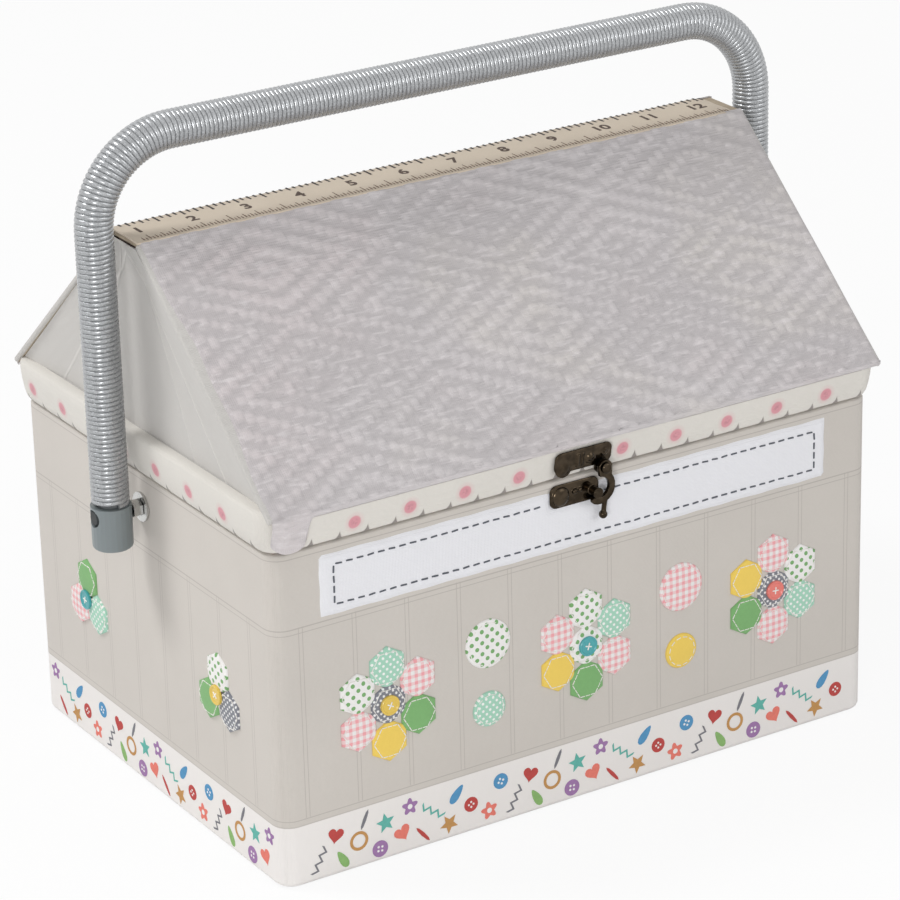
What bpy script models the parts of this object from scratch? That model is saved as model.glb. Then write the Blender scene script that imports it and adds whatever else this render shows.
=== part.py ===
"""A house-shaped fabric-covered sewing box with a swing handle, a roof lid, a latch and a lift-out tray.

Metres, +Z up. The front faces -Y, the ridge runs along X, and the origin is at the middle of the
underside. Run it with blender --background --python part.py, or from the text editor.
"""

import math

import bmesh
import bpy
from mathutils import Vector

# Clearances shared by every piece

GAP = 0.0003
CUT_OVERRUN = 0.004
WELD_DISTANCE = 0.00001

# The box below the seam

BODY_LENGTH = 0.300
BODY_DEPTH = 0.216
SEAM_HEIGHT = 0.1505
COVER_THICKNESS = 0.003
COVER_CORNER_RADIUS = 0.008
COVER_LIFT = 0.0006
COVER_FOOT_ROUNDING = 0.0022
SEAM_REVEAL = 0.0007
BOARD_THICKNESS = 0.005
BASE_CLOTH_THICKNESS = 0.002
LINING_THICKNESS = 0.001
LINING_CORNER_RADIUS = 0.0025
LINING_DROP = 0.002

# The tray and what it rests on

LEDGE_THICKNESS = 0.008
LEDGE_END_MARGIN = 0.004
TRAY_HEIGHT = 0.035
TRAY_DROP = 0.0128
TRAY_CLEARANCE = 0.0014
TRAY_WALL = 0.0016
TRAY_CORNER_RADIUS = 0.008
TRAY_POCKET_RADIUS = 0.006
TRAY_LIP_WIDTH = 0.002
TRAY_LIP_HEIGHT = 0.0022
TRAY_NOTCH_RADIUS = 0.009
TRAY_FRONT_ROW_SHARE = 0.42
TRAY_FRONT_SPLIT_SHARES = (0.0, 0.62, 1.0)
TRAY_REAR_SPLIT_SHARES = (0.0, 0.25, 0.5, 0.75, 1.0)

# The roof-shaped lid

RIDGE_RISE = 0.1059
RIDGE_HALF_WIDTH = 0.012
EAVE_RISE = 0.017
EAVE_OVERHANG = 0.006
ROOF_END_OVERHANG = 0.002
ROOF_BOARD_END_INSET = 0.0015
ROOF_BOARD_THICKNESS = 0.0022
QUILT_THICKNESS = 0.0013
RIBBON_THICKNESS = 0.001
RIM_HEIGHT = 0.0195
RIM_FLARE = 0.0035
RIM_ROUNDING = 0.0022
GABLE_CLOTH_THICKNESS = 0.0014
PINCUSHION_LENGTH = 0.110
PINCUSHION_WIDTH = 0.056
PINCUSHION_HEIGHT = 0.018
POCKET_LENGTH = 0.210
POCKET_WIDTH = 0.070
POCKET_HEIGHT = 0.004
CUSHION_CUTS = 7
CUSHION_DRAW_IN_SHARE = 0.07
CUSHION_EDGE_SHARE = 0.35
SLOPE_MIDDLE_SHARE = 0.50

# The rear hinges

HINGE_OFFSET = 0.085
HINGE_LENGTH = 0.030
HINGE_LEAF_HEIGHT = 0.0125
HINGE_LEAF_THICKNESS = 0.001
HINGE_KNUCKLE_RADIUS = 0.0024
HINGE_PIN_RADIUS = 0.0011
HINGE_MIDDLE_SHARE = 0.40
HINGE_CORNER_RADIUS = 0.003

# The handle and its pivots

PIVOT_DROP = 0.0151
WASHER_RADIUS = 0.0065
WASHER_THICKNESS = 0.001
BOLT_RADIUS = 0.002
BOLT_HEAD_RADIUS = 0.0036
BOLT_HEAD_HEIGHT = 0.0022
COUNTERBORE_DEPTH = 0.0029
NUT_RADIUS = 0.00404
LOCKNUT_HEIGHT = 0.0041
INNER_NUT_HEIGHT = 0.0026
CAP_RADIUS = 0.0087
CAP_BELOW_PIVOT = 0.0145
CAP_ABOVE_PIVOT = 0.0047
CAP_ROUNDING = 0.0016
CORE_RADIUS = 0.0055
CORE_BELOW_PIVOT = 0.009
WRAP_RADIUS = 0.0082
WRAP_GROOVE = 0.0006
WRAP_RIBS = 120
GRIP_CLEARANCE = 0.0319
BEND_RADIUS = 0.037
BEND_STEPS = 8

# The latch on the front, in places measured from the box's middle and from the seam

LATCH_PLATE_THICKNESS = 0.001
LATCH_UPPER_LEFT = -0.0160
LATCH_UPPER_RIGHT = 0.0122
LATCH_UPPER_BOTTOM = 0.0034
LATCH_UPPER_TOP = 0.0132
LATCH_LOWER_LEFT = -0.0175
LATCH_LOWER_RIGHT = 0.0066
LATCH_LOWER_BOTTOM = -0.0122
LATCH_LOWER_TOP = -0.0020
LATCH_PIVOT_X = 0.0078
LATCH_PIVOT_RISE = 0.0022
LATCH_EAR_RADIUS = 0.0034
LATCH_CORNER_RADIUS = 0.0030
LATCH_PEG_X = 0.0033
LATCH_PEG_DROP = 0.0078
LATCH_PEG_RADIUS = 0.0019
LATCH_PEG_HEAD_RADIUS = 0.0024
LATCH_PEG_HEAD_HEIGHT = 0.0008
LATCH_HOOK_THICKNESS = 0.0020
LATCH_HOOK_STANDOFF = 0.0018
LATCH_HOOK_WIDTH = 0.0030
LATCH_JAW_RADIUS = 0.0046
LATCH_JAW_OFFSET = 0.0016
LATCH_PEG_CLEARANCE = 0.0006
LATCH_BALL_DROP = 0.0110
LATCH_BALL_RADIUS = 0.0019
LATCH_STEM_RADIUS = 0.0011
LATCH_RIVET_RADIUS = 0.0011
LATCH_RIVET_HEAD_RADIUS = 0.0024
LATCH_RIVET_HEAD_HEIGHT = 0.0011
JAW_TIP_ANGLE = math.radians(-115)
JAW_TOP_ANGLE = math.radians(88)
EYE_LEFT_ANGLE = math.radians(200)
EYE_RIGHT_ANGLE = math.radians(-10)
HOOK_BACK_ANGLE = math.radians(38)
STEM_ANGLE = math.radians(-60)

# Turned pieces and arcs

ROUND_STEPS = 24
SMALL_ROUND_STEPS = 16
CORNER_STEPS = 4
SMOOTH_ANGLE = math.radians(35)
FLAT_ANGLE = math.radians(0.1)
CORE_BEVEL_RESOLUTION = 4
RIB_BEVEL_RESOLUTION = 2
TUBE_SIDES = 12

# Places worked out from the sizes above

HALF_LENGTH = BODY_LENGTH / 2
HALF_DEPTH = BODY_DEPTH / 2
BOARD_X = HALF_LENGTH - COVER_THICKNESS - GAP
BOARD_Y = HALF_DEPTH - COVER_THICKNESS - GAP
INNER_X = BOARD_X - BOARD_THICKNESS
INNER_Y = BOARD_Y - BOARD_THICKNESS
WALL_FOOT = BASE_CLOTH_THICKNESS + GAP
WALL_TOP = SEAM_HEIGHT - GAP
FLOOR_TOP = WALL_FOOT + BOARD_THICKNESS
LINED_X = INNER_X - GAP - LINING_THICKNESS
LINED_Y = INNER_Y - GAP - LINING_THICKNESS
FLOOR_LINING_TOP = FLOOR_TOP + GAP + LINING_THICKNESS
LEDGE_TOP = SEAM_HEIGHT - TRAY_DROP - TRAY_HEIGHT - GAP

RIDGE_Z = SEAM_HEIGHT + RIDGE_RISE
EAVE_Z = SEAM_HEIGHT + EAVE_RISE
EAVE_Y = HALF_DEPTH + EAVE_OVERHANG
ROOF_HALF_LENGTH = HALF_LENGTH + ROOF_END_OVERHANG
PITCH = math.atan2(RIDGE_Z - EAVE_Z, EAVE_Y - RIDGE_HALF_WIDTH)
SLOPE_LENGTH = math.hypot(RIDGE_Z - EAVE_Z, EAVE_Y - RIDGE_HALF_WIDTH)
BOARD_DEPTH_IN_ROOF = QUILT_THICKNESS + GAP
ROOF_UNDERSIDE = BOARD_DEPTH_IN_ROOF + ROOF_BOARD_THICKNESS
RIM_TOP = SEAM_HEIGHT + RIM_HEIGHT
RIDGE_BOARD_TOP = RIDGE_Z - RIBBON_THICKNESS - GAP
GABLE_TOP = RIDGE_BOARD_TOP - ROOF_BOARD_THICKNESS - GAP

PIVOT_Z = SEAM_HEIGHT - PIVOT_DROP
BOLT_TIP_X = LINED_X - GAP - WASHER_THICKNESS - GAP - INNER_NUT_HEIGHT
TRAY_X = BOLT_TIP_X - TRAY_CLEARANCE
TRAY_Y = LINED_Y - TRAY_CLEARANCE
WASHER_OUT = GAP
LOCKNUT_OUT = WASHER_OUT + WASHER_THICKNESS + GAP
CAP_OUT = LOCKNUT_OUT + LOCKNUT_HEIGHT + GAP
LEG_X = HALF_LENGTH + CAP_OUT + CAP_RADIUS
BAR_Z = RIDGE_Z + GRIP_CLEARANCE + WRAP_RADIUS
CORE_BOTTOM = PIVOT_Z - CORE_BELOW_PIVOT
WRAP_BOTTOM = PIVOT_Z + CAP_ABOVE_PIVOT + GAP
BORE_RADIUS = (CORE_RADIUS + GAP) / math.cos(math.pi / TUBE_SIDES)

HINGE_Y = HALF_DEPTH + 2 * GAP + HINGE_KNUCKLE_RADIUS
RIM_LEAN = math.atan2(RIM_FLARE, RIM_HEIGHT - RIM_ROUNDING)

LATCH_FACE_Y = -HALF_DEPTH - GAP
HOOK_BACK_Y = LATCH_FACE_Y - LATCH_PLATE_THICKNESS - LATCH_HOOK_STANDOFF
HOOK_FRONT_Y = HOOK_BACK_Y - LATCH_HOOK_THICKNESS
LATCH_PIVOT_Z = SEAM_HEIGHT + LATCH_PIVOT_RISE
LATCH_PEG_Z = SEAM_HEIGHT - LATCH_PEG_DROP

FACING_X = (math.radians(90), 0, math.radians(90))
FACING_FRONT = (math.radians(90), 0, 0)


# Scene, collections and materials


def clear_scene():
    for thing in list(bpy.data.objects):
        bpy.data.objects.remove(thing)


def make_collection(name):
    found = bpy.data.collections.new(name)
    bpy.context.scene.collection.children.link(found)
    return found


def make_material(name, colour, roughness, metallic=0.0):
    found = bpy.data.materials.new(name)
    found.use_nodes = True
    found.diffuse_color = (*colour, 1)
    shader = found.node_tree.nodes["Principled BSDF"]
    shader.inputs["Base Color"].default_value = (*colour, 1)
    shader.inputs["Roughness"].default_value = roughness
    shader.inputs["Metallic"].default_value = metallic
    return found


clear_scene()
PARTS = make_collection("sewing_box")
CUTTERS = make_collection("sewing_box_cutters")

BOARD_FINISH = make_material("greyboard", (0.50, 0.42, 0.33), 0.85)
PRINT_FINISH = make_material("printed_cotton", (0.58, 0.54, 0.51), 0.90)
RIM_FINISH = make_material("cream_cotton", (0.76, 0.72, 0.67), 0.90)
GABLE_FINISH = make_material("plain_cotton", (0.56, 0.53, 0.50), 0.90)
QUILT_FINISH = make_material("quilted_cotton", (0.61, 0.58, 0.59), 0.92)
RIBBON_FINISH = make_material("tape_ribbon", (0.62, 0.54, 0.42), 0.85)
LINING_FINISH = make_material("lining_cotton", (0.78, 0.60, 0.60), 0.90)
TRAY_FINISH = make_material("tray_plastic", (0.86, 0.86, 0.84), 0.40)
WRAP_FINISH = make_material("handle_cord", (0.36, 0.38, 0.39), 0.50)
CORE_FINISH = make_material("handle_core_plastic", (0.25, 0.26, 0.27), 0.50)
CAP_FINISH = make_material("cap_plastic", (0.26, 0.30, 0.31), 0.38)
STEEL_FINISH = make_material("bright_steel", (0.74, 0.74, 0.73), 0.25, 1.0)
BRONZE_FINISH = make_material("antique_bronze", (0.16, 0.12, 0.08), 0.38, 1.0)


# Placing objects


def make_empty(name, place, parent=None):
    found = bpy.data.objects.new(name, None)
    PARTS.objects.link(found)
    put(found, place, parent)
    return found


def put(thing, place, parent=None, rotation=(0, 0, 0)):
    """Puts an object at a place of the whole model, under an unturned parent empty."""
    thing.parent = parent
    base = WORLD_PLACES.get(parent.name, Vector()) if parent else Vector()
    thing.location = Vector(place) - base
    thing.rotation_euler = rotation
    if thing.type == "EMPTY":
        WORLD_PLACES[thing.name] = Vector(place)


WORLD_PLACES = {}
LID = make_empty("lid_hinge_axis", (0, HINGE_Y, SEAM_HEIGHT))
HANDLE = make_empty("handle_pivot_axis", (0, 0, PIVOT_Z))
HOOK = make_empty("latch_pivot_axis", (LATCH_PIVOT_X, HOOK_BACK_Y, LATCH_PIVOT_Z), LID)
TRAY = make_empty("tray_rest", (0, 0, LEDGE_TOP + GAP))


def link_mesh(name, shape, finish, place, parent=None, rotation=(0, 0, 0), cutter=False):
    mesh = bpy.data.meshes.new(name)
    shape.to_mesh(mesh)
    shape.free()
    mesh.shade_smooth()
    mesh.set_sharp_from_angle(angle=SMOOTH_ANGLE)
    thing = bpy.data.objects.new(name, mesh)
    PARTS.objects.link(thing)
    put(thing, place, parent, rotation)
    if cutter:
        return as_cutter(thing)
    mesh.materials.append(finish)
    return thing


def as_cutter(thing):
    """Moves a helper, which cuts or joins a piece, out of the parts."""
    PARTS.objects.unlink(thing)
    CUTTERS.objects.link(thing)
    thing.hide_render = True
    thing.display_type = "WIRE"
    return thing


# Outlines


def arc(centre, radius, start, end, steps):
    """Points on an arc from the angle start to the angle end, both included."""
    turn = (end - start) / steps
    angles = [start + turn * step for step in range(steps + 1)]
    return [(centre[0] + radius * math.cos(a), centre[1] + radius * math.sin(a)) for a in angles]


def rounded_rectangle(half_x, half_y, radius):
    """A rectangle about the origin with round corners, counter-clockwise."""
    inner_x = half_x - radius
    inner_y = half_y - radius
    quarter = math.pi / 2
    corners = [(inner_x, inner_y), (-inner_x, inner_y), (-inner_x, -inner_y), (inner_x, -inner_y)]
    points = []
    for number, corner in enumerate(corners):
        points += arc(corner, radius, quarter * number, quarter * (number + 1), CORNER_STEPS)
    return points


def shifted(points, by):
    return [(x + by[0], y + by[1]) for x, y in points]


def rounded_box_outline(low, high, radius):
    middle = ((low[0] + high[0]) / 2, (low[1] + high[1]) / 2)
    return shifted(rounded_rectangle((high[0] - low[0]) / 2, (high[1] - low[1]) / 2, radius), middle)


# Shapes


def flat_outline(name, points, thickness, finish, place, parent=None, rotation=(0, 0, 0)):
    """A flat closed outline given a thickness, half to each side of its plane."""
    data = bpy.data.curves.new(name, "CURVE")
    data.dimensions = "2D"
    data.fill_mode = "BOTH"
    data.extrude = thickness / 2
    line = data.splines.new("POLY")
    line.points.add(len(points) - 1)
    for point, (x, y) in zip(line.points, points):
        point.co = (x, y, 0, 1)
    line.use_cyclic_u = True
    data.materials.append(finish)
    thing = bpy.data.objects.new(name, data)
    PARTS.objects.link(thing)
    put(thing, place, parent, rotation)
    return thing


def along_x(name, points, low_x, high_x, finish, parent=None):
    """An outline in (y, z) carried from low_x to high_x."""
    middle = (low_x + high_x) / 2
    return flat_outline(name, points, high_x - low_x, finish, (middle, 0, 0), parent, FACING_X)


def as_mesh(thing):
    """The same piece as a mesh with welded caps, so that it can be cut."""
    bpy.context.view_layer.update()
    graph = bpy.context.evaluated_depsgraph_get()
    mesh = bpy.data.meshes.new_from_object(thing.evaluated_get(graph))
    shape = bmesh.new()
    shape.from_mesh(mesh)
    bmesh.ops.remove_doubles(shape, verts=shape.verts, dist=WELD_DISTANCE)
    bmesh.ops.dissolve_limit(shape, angle_limit=FLAT_ANGLE, verts=shape.verts, edges=shape.edges)
    bmesh.ops.recalc_face_normals(shape, faces=shape.faces)
    shape.to_mesh(mesh)
    shape.free()
    name = thing.name
    parent = thing.parent
    matrix = thing.matrix_world.copy()
    bpy.data.objects.remove(thing)
    made = bpy.data.objects.new(name, mesh)
    PARTS.objects.link(made)
    made.parent = parent
    made.matrix_world = matrix
    return made


def box(name, low, high, finish, parent=None, cutter=False):
    shape = bmesh.new()
    bmesh.ops.create_cube(shape, size=1)
    size = [h - l for l, h in zip(low, high)]
    bmesh.ops.scale(shape, vec=size, verts=shape.verts)
    middle = [(l + h) / 2 for l, h in zip(low, high)]
    return link_mesh(name, shape, finish, middle, parent, cutter=cutter)


def round_upright_edges(thing, radius):
    shape = bmesh.new()
    shape.from_mesh(thing.data)
    edges = []
    for edge in shape.edges:
        first, second = (vert.co for vert in edge.verts)
        if (first - second).to_2d().length < WELD_DISTANCE:
            edges.append(edge)
    bmesh.ops.bevel(
        shape, geom=edges, offset=radius, segments=CORNER_STEPS, profile=0.5, affect="EDGES"
    )
    shape.to_mesh(thing.data)
    shape.free()
    return thing


def cylinder(name, radius, start, end, finish=None, parent=None, cutter=False, steps=SMALL_ROUND_STEPS):
    """A round bar between two points of the whole model."""
    start = Vector(start)
    end = Vector(end)
    shape = bmesh.new()
    bmesh.ops.create_cone(
        shape,
        cap_ends=True,
        segments=steps,
        radius1=radius,
        radius2=radius,
        depth=(end - start).length,
    )
    turn = (end - start).to_track_quat("Z", "Y").to_euler()
    return link_mesh(name, shape, finish, (start + end) / 2, parent, turn, cutter)


def turned(name, profile, finish, place, parent=None, rotation=(0, 0, 0), closed=False, steps=ROUND_STEPS):
    """A profile of (radius, height) points turned about the object's own Z."""
    shape = bmesh.new()
    verts = [shape.verts.new((radius, 0, height)) for radius, height in profile]
    for first, second in zip(verts, verts[1:]):
        shape.edges.new((first, second))
    if closed:
        shape.edges.new((verts[-1], verts[0]))
    thing = link_mesh(name, shape, finish, place, parent, rotation)
    screw = thing.modifiers.new("Turn", "SCREW")
    screw.steps = steps
    screw.render_steps = steps
    screw.use_merge_vertices = True
    screw.merge_threshold = WELD_DISTANCE
    return thing


def ring(name, half_x, half_y, corner_radius, profile, finish, parent=None):
    """A closed profile of (outset, height) points carried round a rectangle.

    The corners follow corner_radius, except on the innermost points, which fit a square corner.
    """
    innermost = min(outset for outset, height in profile)
    shape = bmesh.new()
    loops = []
    for outset, height in profile:
        radius = GAP if outset == innermost else corner_radius + outset
        outline = rounded_rectangle(half_x + outset, half_y + outset, radius)
        loops.append([shape.verts.new((x, y, height)) for x, y in outline])
    for low, high in zip(loops, loops[1:] + loops[:1]):
        for number in range(len(low)):
            shape.faces.new((low[number - 1], low[number], high[number], high[number - 1]))
    bmesh.ops.recalc_face_normals(shape, faces=shape.faces)
    return link_mesh(name, shape, finish, (0, 0, 0), parent)


def cut(thing, *cutters):
    for cutter in cutters:
        boolean = thing.modifiers.new("Cut by " + cutter.name, "BOOLEAN")
        boolean.operation = "DIFFERENCE"
        boolean.solver = "EXACT"
        boolean.object = cutter
    return thing


def join(thing, *others):
    for other in others:
        boolean = thing.modifiers.new("Join " + other.name, "BOOLEAN")
        boolean.operation = "UNION"
        boolean.solver = "EXACT"
        boolean.object = other
    return thing


# The box below the seam


def pivot_hole(side):
    """A cutter through one end wall, its cover and its lining, where the handle's bolt passes."""
    start = (side * (LINED_X - CUT_OVERRUN), 0, PIVOT_Z)
    end = (side * (HALF_LENGTH + CUT_OVERRUN), 0, PIVOT_Z)
    name = "pivot_hole_right" if side > 0 else "pivot_hole_left"
    return cylinder(name, BOLT_RADIUS + GAP, start, end, cutter=True)


def make_body():
    holes = {side: pivot_hole(side) for side in (-1, 1)}
    flat_outline(
        "base_cloth",
        rounded_rectangle(BOARD_X, BOARD_Y, COVER_CORNER_RADIUS - COVER_THICKNESS),
        BASE_CLOTH_THICKNESS,
        PRINT_FINISH,
        (0, 0, BASE_CLOTH_THICKNESS / 2),
    )
    box(
        "base_board",
        (GAP - INNER_X, GAP - INNER_Y, WALL_FOOT),
        (INNER_X - GAP, INNER_Y - GAP, FLOOR_TOP),
        BOARD_FINISH,
    )
    for name, side in (("front_board", -1), ("rear_board", 1)):
        near, far = sorted((side * INNER_Y, side * BOARD_Y))
        box(name, (GAP - INNER_X, near, WALL_FOOT), (INNER_X - GAP, far, WALL_TOP), BOARD_FINISH)
    for name, side in (("left_board", -1), ("right_board", 1)):
        near, far = sorted((side * INNER_X, side * BOARD_X))
        board = box(name, (near, -BOARD_Y, WALL_FOOT), (far, BOARD_Y, WALL_TOP), BOARD_FINISH)
        cut(board, holes[side])
    cover_top = SEAM_HEIGHT - SEAM_REVEAL
    cover = ring(
        "body_cover",
        HALF_LENGTH,
        HALF_DEPTH,
        COVER_CORNER_RADIUS,
        [
            (-COVER_THICKNESS, COVER_LIFT),
            (-COVER_FOOT_ROUNDING, COVER_LIFT),
            (-COVER_FOOT_ROUNDING / 3, COVER_LIFT + COVER_FOOT_ROUNDING / 3),
            (0, COVER_LIFT + COVER_FOOT_ROUNDING),
            (0, cover_top - SEAM_REVEAL),
            (-SEAM_REVEAL, cover_top),
            (-COVER_THICKNESS, cover_top),
        ],
        PRINT_FINISH,
    )
    cut(cover, holes[-1], holes[1])
    lining_foot = FLOOR_TOP + GAP
    lining_top = SEAM_HEIGHT - LINING_DROP
    lining = ring(
        "body_lining",
        INNER_X - GAP,
        INNER_Y - GAP,
        LINING_CORNER_RADIUS,
        [
            (-LINING_THICKNESS, lining_foot),
            (0, lining_foot),
            (0, lining_top),
            (-LINING_THICKNESS, lining_top),
        ],
        LINING_FINISH,
    )
    cut(lining, holes[-1], holes[1])
    flat_outline(
        "floor_lining",
        rounded_rectangle(LINED_X - GAP, LINED_Y - GAP, LINING_CORNER_RADIUS - LINING_THICKNESS),
        LINING_THICKNESS,
        LINING_FINISH,
        (0, 0, lining_foot + LINING_THICKNESS / 2),
    )
    foot = FLOOR_LINING_TOP + GAP
    reach = LINED_Y - LEDGE_END_MARGIN
    for name, side in (("tray_ledge_left", -1), ("tray_ledge_right", 1)):
        near, far = sorted((side * (LINED_X - GAP - LEDGE_THICKNESS), side * (LINED_X - GAP)))
        box(name, (near, -reach, foot), (far, reach, LEDGE_TOP), LINING_FINISH)


# The lift-out tray


def tray_pocket(number, low, high, floor, top):
    """A cutter for one compartment, with round upright corners."""
    cutter = box(f"tray_pocket_{number}", (*low, floor), (*high, top), None, cutter=True)
    return round_upright_edges(cutter, TRAY_POCKET_RADIUS)


def make_tray():
    foot = LEDGE_TOP + GAP
    top = foot + TRAY_HEIGHT
    body_x = TRAY_X - TRAY_LIP_WIDTH
    body_y = TRAY_Y - TRAY_LIP_WIDTH
    tray = box("tray", (-body_x, -body_y, foot), (body_x, body_y, top), TRAY_FINISH, TRAY)
    round_upright_edges(tray, TRAY_CORNER_RADIUS)
    low = (-TRAY_X, -TRAY_Y, top - TRAY_LIP_HEIGHT)
    lip = box("tray_lip", low, (TRAY_X, TRAY_Y, top), None, TRAY, cutter=True)
    round_upright_edges(lip, TRAY_CORNER_RADIUS + TRAY_LIP_WIDTH)
    join(tray, lip)
    width = 2 * (body_x - TRAY_WALL)
    front = TRAY_WALL - body_y
    middle = front + TRAY_FRONT_ROW_SHARE * 2 * (body_y - TRAY_WALL)
    rows = (
        (front, middle - TRAY_WALL / 2, TRAY_FRONT_SPLIT_SHARES),
        (middle + TRAY_WALL / 2, body_y - TRAY_WALL, TRAY_REAR_SPLIT_SHARES),
    )
    number = 0
    for near, far, shares in rows:
        for start, end in zip(shares, shares[1:]):
            number += 1
            left = start * width - width / 2 + (TRAY_WALL / 2 if start > 0 else 0)
            right = end * width - width / 2 - (TRAY_WALL / 2 if end < 1 else 0)
            floor = foot + TRAY_WALL
            cut(tray, tray_pocket(number, (left, near), (right, far), floor, top + CUT_OVERRUN))
    for side in (-1, 1):
        start = (side * (body_x - TRAY_WALL - CUT_OVERRUN), 0, top)
        end = (side * (TRAY_X + CUT_OVERRUN), 0, top)
        name = "tray_notch_right" if side > 0 else "tray_notch_left"
        cut(tray, cylinder(name, TRAY_NOTCH_RADIUS, start, end, cutter=True))


# The roof-shaped lid


def slope_point(along, depth):
    """(y, z) on the rear slope: along it from the ridge strip, and this deep below its top."""
    y = RIDGE_HALF_WIDTH + along * math.cos(PITCH) - depth * math.sin(PITCH)
    z = RIDGE_Z - along * math.sin(PITCH) - depth * math.cos(PITCH)
    return (y, z)


def slope_height(y, depth):
    """The height of the plane that lies this deep below the slope's top, at y from the middle."""
    return EAVE_Z + (EAVE_Y - y) * math.tan(PITCH) - depth / math.cos(PITCH)


def slope_y(z, depth):
    return EAVE_Y - (z - EAVE_Z + depth / math.cos(PITCH)) / math.tan(PITCH)


def slope_start(y, depth):
    """How far along the slope a layer this deep starts, if it is cut upright at y."""
    return (y - RIDGE_HALF_WIDTH + depth * math.sin(PITCH)) / math.cos(PITCH)


def mirrored(points, side):
    """The outline on the rear slope, or turned over for the front one."""
    return points if side > 0 else [(-y, z) for y, z in reversed(points)]


def make_roof_side(name, side):
    top_y = RIDGE_HALF_WIDTH + GAP
    board_end = SLOPE_LENGTH - BOARD_DEPTH_IN_ROOF
    board = [
        slope_point(slope_start(top_y, BOARD_DEPTH_IN_ROOF), BOARD_DEPTH_IN_ROOF),
        slope_point(board_end, BOARD_DEPTH_IN_ROOF),
        slope_point(board_end, ROOF_UNDERSIDE),
        slope_point(slope_start(top_y, ROOF_UNDERSIDE), ROOF_UNDERSIDE),
    ]
    reach = ROOF_HALF_LENGTH - ROOF_BOARD_END_INSET
    along_x(f"roof_{name}_board", mirrored(board, side), -reach, reach, BOARD_FINISH, LID)
    quilt = [
        slope_point(slope_start(top_y, 0), 0),
        slope_point(SLOPE_LENGTH, 0),
        slope_point(SLOPE_LENGTH, ROOF_UNDERSIDE),
        slope_point(SLOPE_LENGTH - QUILT_THICKNESS, ROOF_UNDERSIDE),
        slope_point(SLOPE_LENGTH - QUILT_THICKNESS, QUILT_THICKNESS),
        slope_point(slope_start(top_y, QUILT_THICKNESS), QUILT_THICKNESS),
    ]
    reach = ROOF_HALF_LENGTH
    along_x(f"roof_{name}_quilt", mirrored(quilt, side), -reach, reach, QUILT_FINISH, LID)
    outer = ROOF_UNDERSIDE + GAP
    inner = outer + LINING_THICKNESS
    low_y = INNER_Y - GAP
    lining = [
        (top_y, slope_height(top_y, outer)),
        (low_y, slope_height(low_y, outer)),
        (low_y, slope_height(low_y, inner)),
        (top_y, slope_height(top_y, inner)),
    ]
    reach = INNER_X - GAP
    along_x(f"lid_{name}_lining", mirrored(lining, side), -reach, reach, LINING_FINISH, LID)
    under = ROOF_UNDERSIDE + GAP
    rail = [
        (INNER_Y, SEAM_HEIGHT),
        (BOARD_Y, SEAM_HEIGHT),
        (BOARD_Y, slope_height(BOARD_Y, under)),
        (INNER_Y, slope_height(INNER_Y, under)),
    ]
    along_x(f"lid_{name}_rail", mirrored(rail, side), -reach, reach, BOARD_FINISH, LID)


def make_gable(name, side):
    under = ROOF_UNDERSIDE + GAP
    shoulder = slope_y(GABLE_TOP, under)
    board = [
        (-BOARD_Y, SEAM_HEIGHT),
        (BOARD_Y, SEAM_HEIGHT),
        (BOARD_Y, slope_height(BOARD_Y, under)),
        (shoulder, GABLE_TOP),
        (-shoulder, GABLE_TOP),
        (-BOARD_Y, slope_height(BOARD_Y, under)),
    ]
    near, far = sorted((side * INNER_X, side * BOARD_X))
    along_x(f"lid_{name}_gable", board, near, far, BOARD_FINISH, LID)
    foot = RIM_TOP + GAP
    wide = slope_y(foot, under)
    cloth = [(-wide, foot), (wide, foot), (shoulder, GABLE_TOP), (-shoulder, GABLE_TOP)]
    start = BOARD_X + GAP
    near, far = sorted((side * start, side * (start + GABLE_CLOTH_THICKNESS)))
    along_x(f"gable_cloth_{name}", cloth, near, far, GABLE_FINISH, LID)


def make_rim_cover():
    """The flared padded band round the lid, trimmed under the two eaves."""
    foot = SEAM_HEIGHT + SEAM_REVEAL
    cover = ring(
        "rim_cover",
        HALF_LENGTH,
        HALF_DEPTH,
        COVER_CORNER_RADIUS,
        [
            (-COVER_THICKNESS, foot),
            (-SEAM_REVEAL, foot),
            (0, foot + SEAM_REVEAL),
            (RIM_FLARE, RIM_TOP - RIM_ROUNDING),
            (RIM_FLARE - RIM_ROUNDING / 3, RIM_TOP - RIM_ROUNDING / 3),
            (RIM_FLARE - RIM_ROUNDING, RIM_TOP),
            (-COVER_THICKNESS, RIM_TOP),
        ],
        RIM_FINISH,
        LID,
    )
    cover.location = -WORLD_PLACES[LID.name]
    reach = ROOF_HALF_LENGTH + RIM_FLARE + CUT_OVERRUN
    for name, side in (("front", -1), ("rear", 1)):
        shadow = [
            slope_point(0, ROOF_UNDERSIDE + GAP),
            slope_point(SLOPE_LENGTH + RIM_HEIGHT, ROOF_UNDERSIDE + GAP),
            slope_point(SLOPE_LENGTH + RIM_HEIGHT, -RIM_HEIGHT),
            slope_point(0, -RIM_HEIGHT),
        ]
        wedge = along_x(f"eave_trim_{name}", mirrored(shadow, side), -reach, reach, RIM_FINISH, LID)
        cut(cover, as_cutter(as_mesh(wedge)))


def make_ridge():
    reach = ROOF_HALF_LENGTH - ROOF_BOARD_END_INSET
    box(
        "ridge_board",
        (-reach, -RIDGE_HALF_WIDTH, RIDGE_BOARD_TOP - ROOF_BOARD_THICKNESS),
        (reach, RIDGE_HALF_WIDTH, RIDGE_BOARD_TOP),
        BOARD_FINISH,
        LID,
    )
    box(
        "ridge_ribbon",
        (-ROOF_HALF_LENGTH, -RIDGE_HALF_WIDTH, RIDGE_Z - RIBBON_THICKNESS),
        (ROOF_HALF_LENGTH, RIDGE_HALF_WIDTH, RIDGE_Z),
        RIBBON_FINISH,
        LID,
    )


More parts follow.
